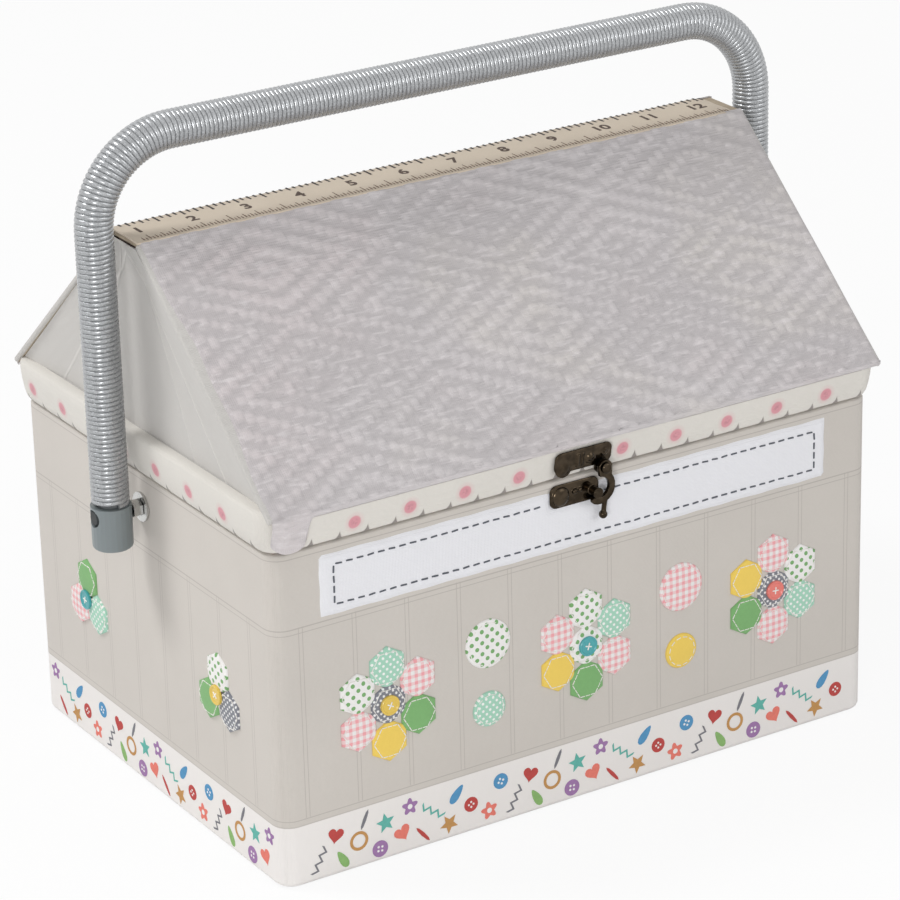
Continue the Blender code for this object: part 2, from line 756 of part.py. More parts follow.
def cushion(name, length, width, height, finish, side):
    """A crowned pad with drawn-in sides, flat where it lies on the lining of one slope."""
    shape = bmesh.new()
    bmesh.ops.create_cube(shape, size=2)
    bmesh.ops.subdivide_edges(shape, edges=shape.edges, cuts=CUSHION_CUTS, use_grid_fill=True)
    for vert in shape.verts:
        across, up, out = vert.co
        crown = CUSHION_EDGE_SHARE + (1 - CUSHION_EDGE_SHARE) * (1 - across**4) * (1 - up**4)
        vert.co.x = across * length / 2 * (1 - CUSHION_DRAW_IN_SHARE * (1 - up**2))
        vert.co.y = up * width / 2 * (1 - CUSHION_DRAW_IN_SHARE * (1 - across**2))
        vert.co.z = (out + 1) / 2 * height * crown
    depth = ROOF_UNDERSIDE + GAP + LINING_THICKNESS + GAP
    y, z = slope_point(SLOPE_MIDDLE_SHARE * SLOPE_LENGTH, depth)
    turn = math.pi - side * PITCH
    return link_mesh(name, shape, finish, (0, side * y, z), LID, (turn, 0, 0))


def make_lid():
    make_roof_side("front", -1)
    make_roof_side("rear", 1)
    make_gable("left", -1)
    make_gable("right", 1)
    make_ridge()
    make_rim_cover()
    cushion("pincushion", PINCUSHION_LENGTH, PINCUSHION_WIDTH, PINCUSHION_HEIGHT, QUILT_FINISH, -1)
    cushion("lid_pocket", POCKET_LENGTH, POCKET_WIDTH, POCKET_HEIGHT, LINING_FINISH, 1)


# The rear hinges


def hinge_leaf(name, centre_x, upward, knuckles, notches, parent):
    """A leaf that lies on the fabric, with its knuckles and the notches for the other leaf's.

    upward is 1 for the lid's leaf, which leans out with the rim, and -1 for the body's.
    """
    half = HINGE_LENGTH / 2
    turn = (FACING_FRONT[0] - (RIM_LEAN if upward > 0 else 0), 0, 0)
    middle = (centre_x, HALF_DEPTH + GAP + HINGE_LEAF_THICKNESS / 2, SEAM_HEIGHT)
    side = half - HINGE_CORNER_RADIUS
    far = HINGE_LEAF_HEIGHT - HINGE_CORNER_RADIUS
    quarter = math.pi / 2
    outline = [
        (-half, 0),
        (half, 0),
        *arc((side, far), HINGE_CORNER_RADIUS, 0, quarter, CORNER_STEPS),
        *arc((-side, far), HINGE_CORNER_RADIUS, quarter, 2 * quarter, CORNER_STEPS),
    ]
    outline = [(x, upward * z) for x, z in outline]
    leaf = flat_outline(name, outline, HINGE_LEAF_THICKNESS, BRONZE_FINISH, middle, parent, turn)
    leaf = as_mesh(leaf)
    near = HINGE_KNUCKLE_RADIUS + GAP
    for number, (start, end) in enumerate(notches):
        notch = [(start, -CUT_OVERRUN), (end, -CUT_OVERRUN), (end, near), (start, near)]
        notch = [(x, upward * z) for x, z in notch]
        label = f"{name}_notch_{number}"
        block = flat_outline(label, notch, 2 * CUT_OVERRUN, BRONZE_FINISH, middle, parent, turn)
        cut(leaf, as_cutter(as_mesh(block)))
    for number, (start, end) in enumerate(knuckles):
        left = (centre_x + start + GAP, HINGE_Y, SEAM_HEIGHT)
        right = (centre_x + end - GAP, HINGE_Y, SEAM_HEIGHT)
        label = f"{name}_barrel_{number}"
        join(leaf, cylinder(label, HINGE_KNUCKLE_RADIUS, left, right, parent=parent, cutter=True))
    start = (centre_x - half - CUT_OVERRUN, HINGE_Y, SEAM_HEIGHT)
    end = (centre_x + half + CUT_OVERRUN, HINGE_Y, SEAM_HEIGHT)
    cut(leaf, cylinder(f"{name}_bore", HINGE_PIN_RADIUS + GAP, start, end, cutter=True))


def make_hinge(name, centre_x):
    half = HINGE_LENGTH / 2
    edge = half * HINGE_MIDDLE_SHARE
    inner = edge + GAP
    outer = half + CUT_OVERRUN
    ends = ((-half, -inner), (inner, half))
    hinge_leaf(f"hinge_body_leaf_{name}", centre_x, -1, ends, ((-inner, inner),), None)
    sides = ((-outer, -edge), (edge, outer))
    hinge_leaf(f"hinge_lid_leaf_{name}", centre_x, 1, ((-edge, edge),), sides, LID)
    start = (centre_x - half, HINGE_Y, SEAM_HEIGHT)
    end = (centre_x + half, HINGE_Y, SEAM_HEIGHT)
    cylinder(f"hinge_pin_{name}", HINGE_PIN_RADIUS, start, end, STEEL_FINISH)


# The handle and its pivots


def handle_bend(corner_x, side):
    """Points round one upper corner, from its leg to the bar, in (x, z)."""
    centre = (corner_x - side * BEND_RADIUS, BAR_Z - BEND_RADIUS)
    start = 0 if side > 0 else math.pi
    return arc(centre, BEND_RADIUS, start, math.pi / 2, BEND_STEPS)


def handle_line(bottom):
    """The handle's middle line from the left foot up, across and down to the right foot."""
    left = handle_bend(-LEG_X, -1)
    right = list(reversed(handle_bend(LEG_X, 1)))
    return [(-LEG_X, bottom), *left, *right, (LEG_X, bottom)]


def tube(name, points, radii, resolution, finish):
    data = bpy.data.curves.new(name, "CURVE")
    data.dimensions = "3D"
    data.bevel_depth = 1
    data.bevel_resolution = resolution
    data.use_fill_caps = True
    line = data.splines.new("POLY")
    line.points.add(len(points) - 1)
    for point, (x, z), radius in zip(line.points, points, radii):
        point.co = (x, 0, z - PIVOT_Z, 1)
        point.radius = radius
    data.materials.append(finish)
    thing = bpy.data.objects.new(name, data)
    PARTS.objects.link(thing)
    put(thing, (0, 0, PIVOT_Z), HANDLE)
    return as_mesh(thing)


def handle_length():
    leg = BAR_Z - BEND_RADIUS - WRAP_BOTTOM
    bar = 2 * (LEG_X - BEND_RADIUS)
    return leg, math.pi / 2 * BEND_RADIUS, bar


def handle_point(distance):
    """(x, z) on the smooth middle line, this far from the foot of the left leg's winding."""
    leg, bend, bar = handle_length()
    total = 2 * (leg + bend) + bar
    side = -1
    if distance > total / 2:
        distance = total - distance
        side = 1
    if distance < leg:
        return (side * LEG_X, WRAP_BOTTOM + distance)
    if distance < leg + bend:
        angle = (distance - leg) / BEND_RADIUS
        inset = BEND_RADIUS * (1 - math.cos(angle))
        return (side * (LEG_X - inset), BAR_Z - BEND_RADIUS + BEND_RADIUS * math.sin(angle))
    return (side * (LEG_X - BEND_RADIUS - (distance - leg - bend)), BAR_Z)


def make_winding():
    """The closely wound cord, as ribs round a sleeve that the core fills."""
    leg, bend, bar = handle_length()
    total = 2 * (leg + bend) + bar
    count = 2 * WRAP_RIBS
    points = [handle_point(total * number / count) for number in range(count + 1)]
    crest = WRAP_RADIUS
    groove = WRAP_RADIUS - WRAP_GROOVE
    radii = [crest if number % 2 else groove for number in range(count + 1)]
    winding = tube("handle_winding", points, radii, RIB_BEVEL_RESOLUTION, WRAP_FINISH)
    line = handle_line(WRAP_BOTTOM - CUT_OVERRUN)
    bore = tube("handle_bore", line, [BORE_RADIUS] * len(line), CORE_BEVEL_RESOLUTION, WRAP_FINISH)
    cut(winding, as_cutter(bore))


def bolt_hole(name, side):
    """A cutter along one pivot, through the end cap and the core."""
    start = (side * (LEG_X - CAP_RADIUS - CUT_OVERRUN), 0, PIVOT_Z)
    end = (side * (LEG_X + CAP_RADIUS + CUT_OVERRUN), 0, PIVOT_Z)
    return cylinder(f"bolt_hole_{name}", BOLT_RADIUS + GAP, start, end, cutter=True)


def make_cap(name, side, hole):
    """The plastic end cap: a cup that takes the core's end, with a counterbored pivot hole."""
    bottom = -CAP_BELOW_PIVOT
    top = CAP_ABOVE_PIVOT
    floor = -CORE_BELOW_PIVOT - GAP
    centre = (CAP_RADIUS - CAP_ROUNDING, bottom + CAP_ROUNDING)
    foot = arc(centre, CAP_ROUNDING, 0, -math.pi / 2, CORNER_STEPS)
    profile = [(0, floor), (BORE_RADIUS, floor), (BORE_RADIUS, top), (CAP_RADIUS, top), *foot, (0, bottom)]
    cap = turned(f"handle_cap_{name}", profile, CAP_FINISH, (side * LEG_X, 0, PIVOT_Z), HANDLE)
    start = (side * (LEG_X + CAP_RADIUS - COUNTERBORE_DEPTH), 0, PIVOT_Z)
    end = (side * (LEG_X + CAP_RADIUS + CUT_OVERRUN), 0, PIVOT_Z)
    recess = cylinder(f"counterbore_{name}", BOLT_HEAD_RADIUS + GAP, start, end, cutter=True)
    cut(cap, hole, recess)


def make_pivot(name, side):
    """The bolt, washers and nuts of one pivot. Each profile's height runs outwards from the wall."""
    place = (side * HALF_LENGTH, 0, PIVOT_Z)
    turn = (0, side * math.pi / 2, 0)
    head_seat = CAP_OUT + 2 * CAP_RADIUS - COUNTERBORE_DEPTH + GAP
    head_top = head_seat + BOLT_HEAD_HEIGHT
    tip = BOLT_TIP_X - HALF_LENGTH
    dome = BOLT_HEAD_HEIGHT / 3
    bolt = [
        (0, head_top),
        (BOLT_HEAD_RADIUS - dome, head_top),
        (BOLT_HEAD_RADIUS, head_top - dome),
        (BOLT_HEAD_RADIUS, head_seat),
        (BOLT_RADIUS, head_seat),
        (BOLT_RADIUS, tip),
        (0, tip),
    ]
    turned(f"pivot_bolt_{name}", bolt, STEEL_FINISH, place, None, turn, steps=SMALL_ROUND_STEPS)
    bore = BOLT_RADIUS + GAP
    inner_washer_top = LINED_X - GAP - HALF_LENGTH
    for label, low in (("washer", WASHER_OUT), ("inner_washer", inner_washer_top - WASHER_THICKNESS)):
        high = low + WASHER_THICKNESS
        profile = [(bore, high), (WASHER_RADIUS, high), (WASHER_RADIUS, low), (bore, low)]
        turned(f"pivot_{label}_{name}", profile, STEEL_FINISH, place, None, turn, True)
    inner_nut_top = inner_washer_top - WASHER_THICKNESS - GAP
    nuts = (
        ("locknut", LOCKNUT_OUT, LOCKNUT_HEIGHT),
        ("inner_nut", inner_nut_top - INNER_NUT_HEIGHT, INNER_NUT_HEIGHT),
    )
    for label, low, height in nuts:
        start = (side * (HALF_LENGTH + low), 0, PIVOT_Z)
        end = (side * (HALF_LENGTH + low + height), 0, PIVOT_Z)
        nut = cylinder(f"pivot_{label}_{name}", NUT_RADIUS, start, end, STEEL_FINISH, steps=6)
        over = Vector((side * CUT_OVERRUN, 0, 0))
        thread = cylinder(
            f"{label}_bore_{name}", bore, Vector(start) - over, Vector(end) + over, cutter=True
        )
        cut(nut, thread)


def make_handle():
    holes = {"left": bolt_hole("left", -1), "right": bolt_hole("right", 1)}
    line = handle_line(CORE_BOTTOM)
    core = tube("handle_core", line, [CORE_RADIUS] * len(line), CORE_BEVEL_RESOLUTION, CORE_FINISH)
    cut(core, holes["left"], holes["right"])
    make_winding()
    for name, side in (("left", -1), ("right", 1)):
        make_cap(name, side, holes[name])
        make_pivot(name, side)


# The latch


def front_plate(name, outline, thickness, back_y, parent, lean=0.0):
    """An outline in (x, z), standing proud of the plane y = back_y."""
    place = (0, back_y - thickness / 2, SEAM_HEIGHT)
    points = [(x, z - SEAM_HEIGHT) for x, z in outline]
    turn = (FACING_FRONT[0] + lean, 0, 0)
    return as_mesh(flat_outline(name, points, thickness, BRONZE_FINISH, place, parent, turn))


def make_keeper():
    """The lower plate with its peg."""
    low = (LATCH_LOWER_LEFT, SEAM_HEIGHT + LATCH_LOWER_BOTTOM)
    high = (LATCH_LOWER_RIGHT, SEAM_HEIGHT + LATCH_LOWER_TOP)
    plate = front_plate(
        "latch_keeper",
        rounded_box_outline(low, high, LATCH_CORNER_RADIUS),
        LATCH_PLATE_THICKNESS,
        LATCH_FACE_Y,
        None,
    )
    root = (LATCH_PEG_X, LATCH_FACE_Y - LATCH_PLATE_THICKNESS / 2, LATCH_PEG_Z)
    head_back = (LATCH_PEG_X, HOOK_FRONT_Y - GAP, LATCH_PEG_Z)
    head_middle = (LATCH_PEG_X, head_back[1] - LATCH_PEG_HEAD_HEIGHT / 2, LATCH_PEG_Z)
    head_front = (LATCH_PEG_X, head_back[1] - LATCH_PEG_HEAD_HEIGHT, LATCH_PEG_Z)
    peg = cylinder("keeper_peg", LATCH_PEG_RADIUS, root, head_middle, cutter=True)
    head = cylinder("keeper_head", LATCH_PEG_HEAD_RADIUS, head_back, head_front, cutter=True)
    join(plate, peg, head)


def make_upper_plate():
    """The upper plate, which leans out with the rim, and the ear that carries the hook."""
    low = (LATCH_UPPER_LEFT, SEAM_HEIGHT + LATCH_UPPER_BOTTOM)
    high = (LATCH_UPPER_RIGHT, SEAM_HEIGHT + LATCH_UPPER_TOP)
    plate = front_plate(
        "latch_plate",
        rounded_box_outline(low, high, LATCH_CORNER_RADIUS),
        LATCH_PLATE_THICKNESS,
        LATCH_FACE_Y,
        LID,
        RIM_LEAN,
    )
    full_turn = 2 * math.pi
    disc = arc((LATCH_PIVOT_X, LATCH_PIVOT_Z), LATCH_EAR_RADIUS, 0, full_turn, ROUND_STEPS)[:-1]
    ear = front_plate("latch_ear", disc, LATCH_PLATE_THICKNESS, LATCH_FACE_Y, LID, RIM_LEAN)
    join(plate, as_cutter(ear))
    centre = (LATCH_PIVOT_X, LATCH_PIVOT_Z)
    bore = cylinder(
        "latch_plate_bore",
        LATCH_RIVET_RADIUS + GAP,
        (centre[0], LATCH_FACE_Y + CUT_OVERRUN, centre[1]),
        (centre[0], HOOK_BACK_Y - CUT_OVERRUN, centre[1]),
        cutter=True,
    )
    cut(plate, bore)


def jaw_centre():
    """The middle of the hook's jaw, in (x, z), so that the jaw passes just under the peg."""
    inner = LATCH_JAW_RADIUS
    below = LATCH_PEG_RADIUS + LATCH_PEG_CLEARANCE
    drop = math.sqrt(inner**2 - LATCH_JAW_OFFSET**2) - below
    return Vector((LATCH_PEG_X + LATCH_JAW_OFFSET, LATCH_PEG_Z + drop))


def hook_outline():
    """The hook's eye, its round back and its jaw under the peg, in (x, z)."""
    centre = jaw_centre()
    inner = LATCH_JAW_RADIUS
    outer = inner + LATCH_HOOK_WIDTH
    half = LATCH_HOOK_WIDTH / 2
    steps = ROUND_STEPS // 2
    pivot = (LATCH_PIVOT_X, LATCH_PIVOT_Z)
    inside = arc(centre, inner, JAW_TIP_ANGLE, JAW_TOP_ANGLE, steps)
    eye = arc(pivot, LATCH_EAR_RADIUS, EYE_LEFT_ANGLE, EYE_RIGHT_ANGLE, steps)
    outside = arc(centre, outer, HOOK_BACK_ANGLE, JAW_TIP_ANGLE, steps)
    reach = inner + half
    tip = centre + Vector((math.cos(JAW_TIP_ANGLE), math.sin(JAW_TIP_ANGLE))) * reach
    nose = arc(tip, half, JAW_TIP_ANGLE, JAW_TIP_ANGLE - math.pi, CORNER_STEPS)[1:-1]
    return [*inside, *eye, *outside, *nose]


def make_hook():
    """The cast swing hook with its finger ball."""
    hook = front_plate("latch_hook", hook_outline(), LATCH_HOOK_THICKNESS, HOOK_BACK_Y, HOOK)
    reach = LATCH_JAW_RADIUS + LATCH_HOOK_WIDTH / 2
    root = jaw_centre() + Vector((math.cos(STEM_ANGLE), math.sin(STEM_ANGLE))) * reach
    end = Vector((LATCH_PEG_X + LATCH_JAW_OFFSET + LATCH_BALL_RADIUS, LATCH_PEG_Z - LATCH_BALL_DROP))
    middle_y = HOOK_BACK_Y - LATCH_HOOK_THICKNESS / 2
    top = (root.x, middle_y, root.y)
    foot = (end.x, middle_y, end.y)
    stem = cylinder("hook_stem", LATCH_STEM_RADIUS, top, foot, parent=HOOK, cutter=True)
    shape = bmesh.new()
    bmesh.ops.create_uvsphere(
        shape, u_segments=SMALL_ROUND_STEPS, v_segments=SMALL_ROUND_STEPS // 2, radius=LATCH_BALL_RADIUS
    )
    ball = link_mesh("hook_ball", shape, None, foot, HOOK, cutter=True)
    join(hook, stem, ball)
    start = (LATCH_PIVOT_X, HOOK_BACK_Y + CUT_OVERRUN, LATCH_PIVOT_Z)
    end = (LATCH_PIVOT_X, HOOK_FRONT_Y - CUT_OVERRUN, LATCH_PIVOT_Z)
    cut(hook, cylinder("hook_bore", LATCH_RIVET_RADIUS + GAP, start, end, cutter=True))


def make_rivet():
    """The rivet that holds the hook to the upper plate. Its profile's height runs forwards."""
    head_low = -HOOK_FRONT_Y + GAP
    head_top = head_low + LATCH_RIVET_HEAD_HEIGHT
    start = -LATCH_FACE_Y + GAP
    dome = LATCH_RIVET_HEAD_HEIGHT / 2
    profile = [
        (0, head_top),
        (LATCH_RIVET_HEAD_RADIUS - dome, head_top),
        (LATCH_RIVET_HEAD_RADIUS, head_low + dome),
        (LATCH_RIVET_HEAD_RADIUS, head_low),
        (LATCH_RIVET_RADIUS, head_low),
        (LATCH_RIVET_RADIUS, start),
        (0, start),
    ]
    place = (LATCH_PIVOT_X, 0, LATCH_PIVOT_Z)
    turned("latch_rivet", profile, BRONZE_FINISH, place, LID, FACING_FRONT, steps=SMALL_ROUND_STEPS)


def make_latch():
    make_keeper()
    make_upper_plate()
    make_hook()
    make_rivet()


make_body()
make_tray()
make_lid()
make_hinge("left", -HINGE_OFFSET)
make_hinge("right", HINGE_OFFSET)
make_handle()
make_latch()
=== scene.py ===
"""The looks of a house-shaped fabric sewing box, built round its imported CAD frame.

Metres, +Z up, in the frame of the CAD model. The front faces -Y and the ridge runs along X.
"""

import math
import random
from contextlib import contextmanager

import bmesh
import bpy
from mathutils import Matrix, Vector


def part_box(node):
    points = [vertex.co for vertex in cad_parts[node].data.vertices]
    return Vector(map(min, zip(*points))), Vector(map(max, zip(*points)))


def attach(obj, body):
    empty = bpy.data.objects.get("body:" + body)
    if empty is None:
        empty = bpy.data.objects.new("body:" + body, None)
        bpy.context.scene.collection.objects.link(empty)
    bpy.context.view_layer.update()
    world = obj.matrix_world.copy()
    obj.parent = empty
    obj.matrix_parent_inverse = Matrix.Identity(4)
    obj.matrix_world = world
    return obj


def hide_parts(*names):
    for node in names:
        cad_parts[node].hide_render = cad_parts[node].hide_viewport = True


bl_info = {
    "name": "House Sewing Box",
    "version": (1, 0, 0),
    "blender": (4, 5, 0),
    "location": "View3D > Sidebar > Sewing Box",
    "description": "Builds the cloth, handle, latch and trimmings of a house-shaped sewing box",
    "category": "Add Mesh",
}

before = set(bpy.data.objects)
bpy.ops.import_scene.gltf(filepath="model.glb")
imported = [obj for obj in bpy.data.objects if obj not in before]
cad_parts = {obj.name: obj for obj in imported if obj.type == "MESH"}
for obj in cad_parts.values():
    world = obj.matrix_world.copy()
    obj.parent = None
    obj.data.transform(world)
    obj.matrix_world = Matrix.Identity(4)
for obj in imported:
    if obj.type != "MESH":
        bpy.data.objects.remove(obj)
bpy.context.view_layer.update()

MM = 0.001

# Places taken from the frame

COVER_LOW, COVER_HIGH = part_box("body_cover")
RIM_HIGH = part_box("rim_cover")[1]
QUILT_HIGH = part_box("roof_rear_quilt")[1]
RIBBON_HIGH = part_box("ridge_ribbon")[1]
GABLE_LOW, GABLE_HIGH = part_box("gable_cloth_right")
LINING_LOW, LINING_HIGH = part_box("body_lining")
FLOOR_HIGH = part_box("floor_lining")[1]
WINDING_LOW, WINDING_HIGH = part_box("handle_winding")
KEEPER_LOW, KEEPER_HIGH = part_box("latch_keeper")
PLATE_LOW, PLATE_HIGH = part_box("latch_plate")
WALL_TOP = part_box("right_board")[1].z
LID_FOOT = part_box("lid_rear_rail")[0].z

HALF_LENGTH = COVER_HIGH.x
HALF_DEPTH = COVER_HIGH.y
CORNER_RADIUS = 8 * MM
CORNER_X = HALF_LENGTH - CORNER_RADIUS
CORNER_Y = HALF_DEPTH - CORNER_RADIUS
RIM_FLARE = RIM_HIGH.x - HALF_LENGTH
RIM_LEVEL = RIM_HIGH.z - 2.2 * MM
RIDGE_Z = RIBBON_HIGH.z
RIDGE_HALF = RIBBON_HIGH.y
ROOF_HALF = QUILT_HIGH.x
EAVE_Y = QUILT_HIGH.y
EAVE_Z = LID_FOOT + 17 * MM
PITCH = math.atan2(RIDGE_Z - EAVE_Z, EAVE_Y - RIDGE_HALF)
SLOPE = math.hypot(RIDGE_Z - EAVE_Z, EAVE_Y - RIDGE_HALF)
ROOF_DEPTH = 3.8 * MM
WRAP_RADIUS = WINDING_HIGH.y
LEG_X = WINDING_HIGH.x - WRAP_RADIUS
BAR_Z = WINDING_HIGH.z - WRAP_RADIUS
BEND_RADIUS = 37 * MM
TONGUE_RIGHT = -131 * MM
# A step too small to show, for faces that lie flat
HARDLY = 0.0001 * MM


# What a user would change


def length(name, value, description=""):
    """A length in millimetres."""
    return bpy.props.FloatProperty(name=name, description=description, default=value * MM, unit="LENGTH")


class SewingBoxSizes(bpy.types.PropertyGroup):
    quilt_relief: length("Quilt relief", 0.85, "Height of the woven floats")
    diamond_width: length("Diamond width", 108, "Width of one woven diamond")
    diamond_height: length("Diamond height", 55.4, "Height of one woven diamond")
    float_width: length("Float width", 4.5, "Width of one column of floats")
    wrap_pitch: length("Cord pitch", 2.0, "Distance between turns on the handle")
    dot_radius: length("Dot radius", 2.9, "Radius of the dots on the rim")
    stitch_pitch: length("Stitch pitch", 5.0, "Distance between running stitches")
    band_height: length("Band height", 28.5, "Top of the printed band")
    tape_inch: length("Tape division", 25.4, "Distance between two numbers")


def linear(*shown):
    """A colour for the shaders, from one as it shows on the screen, from 0 to 255."""
    return [((c / 255 + 0.055) / 1.055) ** 2.4 if c > 10 else c / 255 / 12.92 for c in shown]


def tint(name, description, *shown):
    return bpy.props.FloatVectorProperty(
        name=name, description=description, default=linear(*shown), size=3, subtype="COLOR"
    )


class SewingBoxColours(bpy.types.PropertyGroup):
    wall: tint("Wall", "Ground of the walls", 203, 197, 190)
    wall_line: tint("Wall lines", "Printed lines on the walls", 176, 169, 163)
    band: tint("Band", "Ground of the lower band", 233, 229, 226)
    rim: tint("Rim", "Padded rim of the lid", 219, 215, 208)
    dot: tint("Dots", "Dots on the rim", 214, 146, 156)
    gable: tint("Gable", "Cloth of the gables", 198, 195, 191)
    quilt: tint("Quilt", "Woven cloth of the roof", 201, 196, 197)
    ribbon: tint("Ribbon", "Tape along the ridge", 211, 197, 178)
    lining: tint("Lining", "Cloth inside", 232, 208, 206)
    cord: tint("Cord", "Cord wound on the handle", 172, 174, 176)
    cap: tint("Caps", "Plastic ends of the handle", 122, 130, 132)
    bronze: tint("Latch", "Antique bronze", 66, 57, 46)
    pink: tint("Pink", "Pink cloth", 236, 160, 165)
    mint: tint("Mint", "Mint cloth", 164, 210, 188)
    green: tint("Green", "Green cloth", 124, 176, 112)
    yellow: tint("Yellow", "Yellow cloth", 238, 205, 96)
    grey: tint("Grey", "Grey cloth", 126, 128, 136)


def sizes():
    return bpy.context.scene.sewing_box_sizes


def colours():
    return bpy.context.scene.sewing_box_colours


# Working as by hand


def deselect():
    if bpy.context.object and bpy.context.object.mode != "OBJECT":
        bpy.ops.object.mode_set(mode="OBJECT")
    bpy.ops.object.select_all(action="DESELECT")


def take(*things):
    deselect()
    for thing in things:
        thing.select_set(True)
    bpy.context.view_layer.objects.active = things[0]
    return things[0]


def add(shape, **settings):
    """Adds one of the basic meshes."""
    deselect()
    getattr(bpy.ops.mesh, f"primitive_{shape}_add")(**settings)
    return bpy.context.object


def grid(columns, rows):
    """A flat grid from -1 to 1 both ways."""
    return add("grid", x_subdivisions=columns, y_subdivisions=rows, size=2)


@contextmanager
def editing(thing, mode="FACE", select="SELECT"):
    """Edit mode on one piece, with everything, nothing or what was left selected."""
    take(thing)
    bpy.ops.object.mode_set(mode="EDIT")
    bpy.ops.mesh.select_mode(type=mode)
    if select:
        bpy.ops.mesh.select_all(action=select)
    yield
    bpy.ops.object.mode_set(mode="OBJECT")


def raise_selected(up):
    bpy.ops.mesh.extrude_region_move(TRANSFORM_OT_translate={"value": (0, 0, up)})


def apply_modifiers(thing):
    take(thing)
    for added in list(thing.modifiers):
        bpy.ops.object.modifier_apply(modifier=added.name)


def settle(thing, place=None):
    """Puts the place of a piece into its mesh."""
    if place is not None:
        thing.matrix_world = place
        bpy.context.view_layer.update()
    take(thing)
    bpy.ops.object.transform_apply(location=True, rotation=True, scale=True)
    return thing


def join(name, things):
    take(*things)
    if len(things) > 1:
        bpy.ops.object.join()
    joined = bpy.context.object
    joined.name = name
    joined.data.name = name
    return joined


def copy_of(thing, place):
    """A copy with a mesh of its own, at a place given as a matrix."""
    made = thing.copy()
    made.data = thing.data.copy()
    bpy.context.collection.objects.link(made)
    made.data.transform(place)
    return made


def scatter(name, original, places):
    """One piece from copies of a shape, which is removed."""
    copies = [copy_of(original, place) for place in places]
    bpy.data.objects.remove(original)
    return join(name, copies)


def recalculate(thing):
    with editing(thing):
        bpy.ops.mesh.remove_doubles(threshold=0.002 * MM)
        bpy.ops.mesh.normals_make_consistent(inside=False)


def modifier(thing, kind, **settings):
    added = thing.modifiers.new(kind.title(), kind)
    for name, value in settings.items():
        setattr(added, name, value)
    return added


def thicken(thing, thickness, offset=-1, place=None):
    """Gives a sheet its thickness at its place."""
    modifier(thing, "SOLIDIFY", thickness=thickness, offset=offset)
    if place is not None:
        settle(thing, place)
    apply_modifiers(thing)
    recalculate(thing)


def piece(thing, name, finish, body, replaces=(), smooth=40):
    """Names a finished shape, gives it a material and lets it ride on a body."""
    apply_modifiers(thing)
    settle(thing)
    thing.name = name
    thing.data.name = name
    thing.data.materials.clear()
    thing.data.materials.append(finish)
    take(thing)
    bpy.ops.object.shade_smooth_by_angle(angle=math.radians(smooth))
    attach(thing, body)
    if replaces:
        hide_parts(*replaces)
    return thing


def shift(x=0.0, y=0.0, z=0.0):
    return Matrix.Translation((x, y, z))


def turned(angle, axis="Z"):
    return Matrix.Rotation(angle, 4, axis)


QUARTER = math.pi / 2
TURN_TO_FRONT = turned(QUARTER, "X")
TURN_TO_X = turned(QUARTER) @ TURN_TO_FRONT


# Materials


class Nodes:
    """Short ways to add shader nodes."""

    def __init__(self, tree):
        self.tree = tree

    def node(self, kind, **settings):
        made = self.tree.nodes.new("ShaderNode" + kind)
        for name, value in settings.items():
            setattr(made, name, value)
        return made

    def link(self, value, socket):
        if isinstance(value, bpy.types.NodeSocket):
            self.tree.links.new(value, socket)
        else:
            socket.default_value = value

    def math(self, operation, first, second=0.0):
        made = self.node("Math", operation=operation)
        self.link(first, made.inputs[0])
        self.link(second, made.inputs[1])
        return made.outputs[0]

    def plus(self, first, second):
        return self.math("ADD", first, second)

    def less(self, first, second):
        return self.math("SUBTRACT", first, second)

    def times(self, first, second):
        return self.math("MULTIPLY", first, second)

    def most(self, first, second):
        return self.math("MAXIMUM", first, second)

    def size_of(self, value):
        return self.math("ABSOLUTE", value)

    def distance(self, first, second):
        return self.math("SQRT", self.plus(self.times(first, first), self.times(second, second)))

    def ramp(self, value, low, high, start=0.0, end=1.0):
        made = self.node("MapRange", clamp=True)
        self.link(value, made.inputs[0])
        for number, amount in enumerate((low, high, start, end)):
            made.inputs[number + 1].default_value = amount
        return made.outputs[0]

    def seen(self):
        """1 for what the camera sees, also by way of a shiny or clear thing, and 0 for light."""
        path = self.node("LightPath")
        direct = self.most(path.outputs["Is Camera Ray"], path.outputs["Is Glossy Ray"])
        return self.most(direct, path.outputs["Is Transmission Ray"])


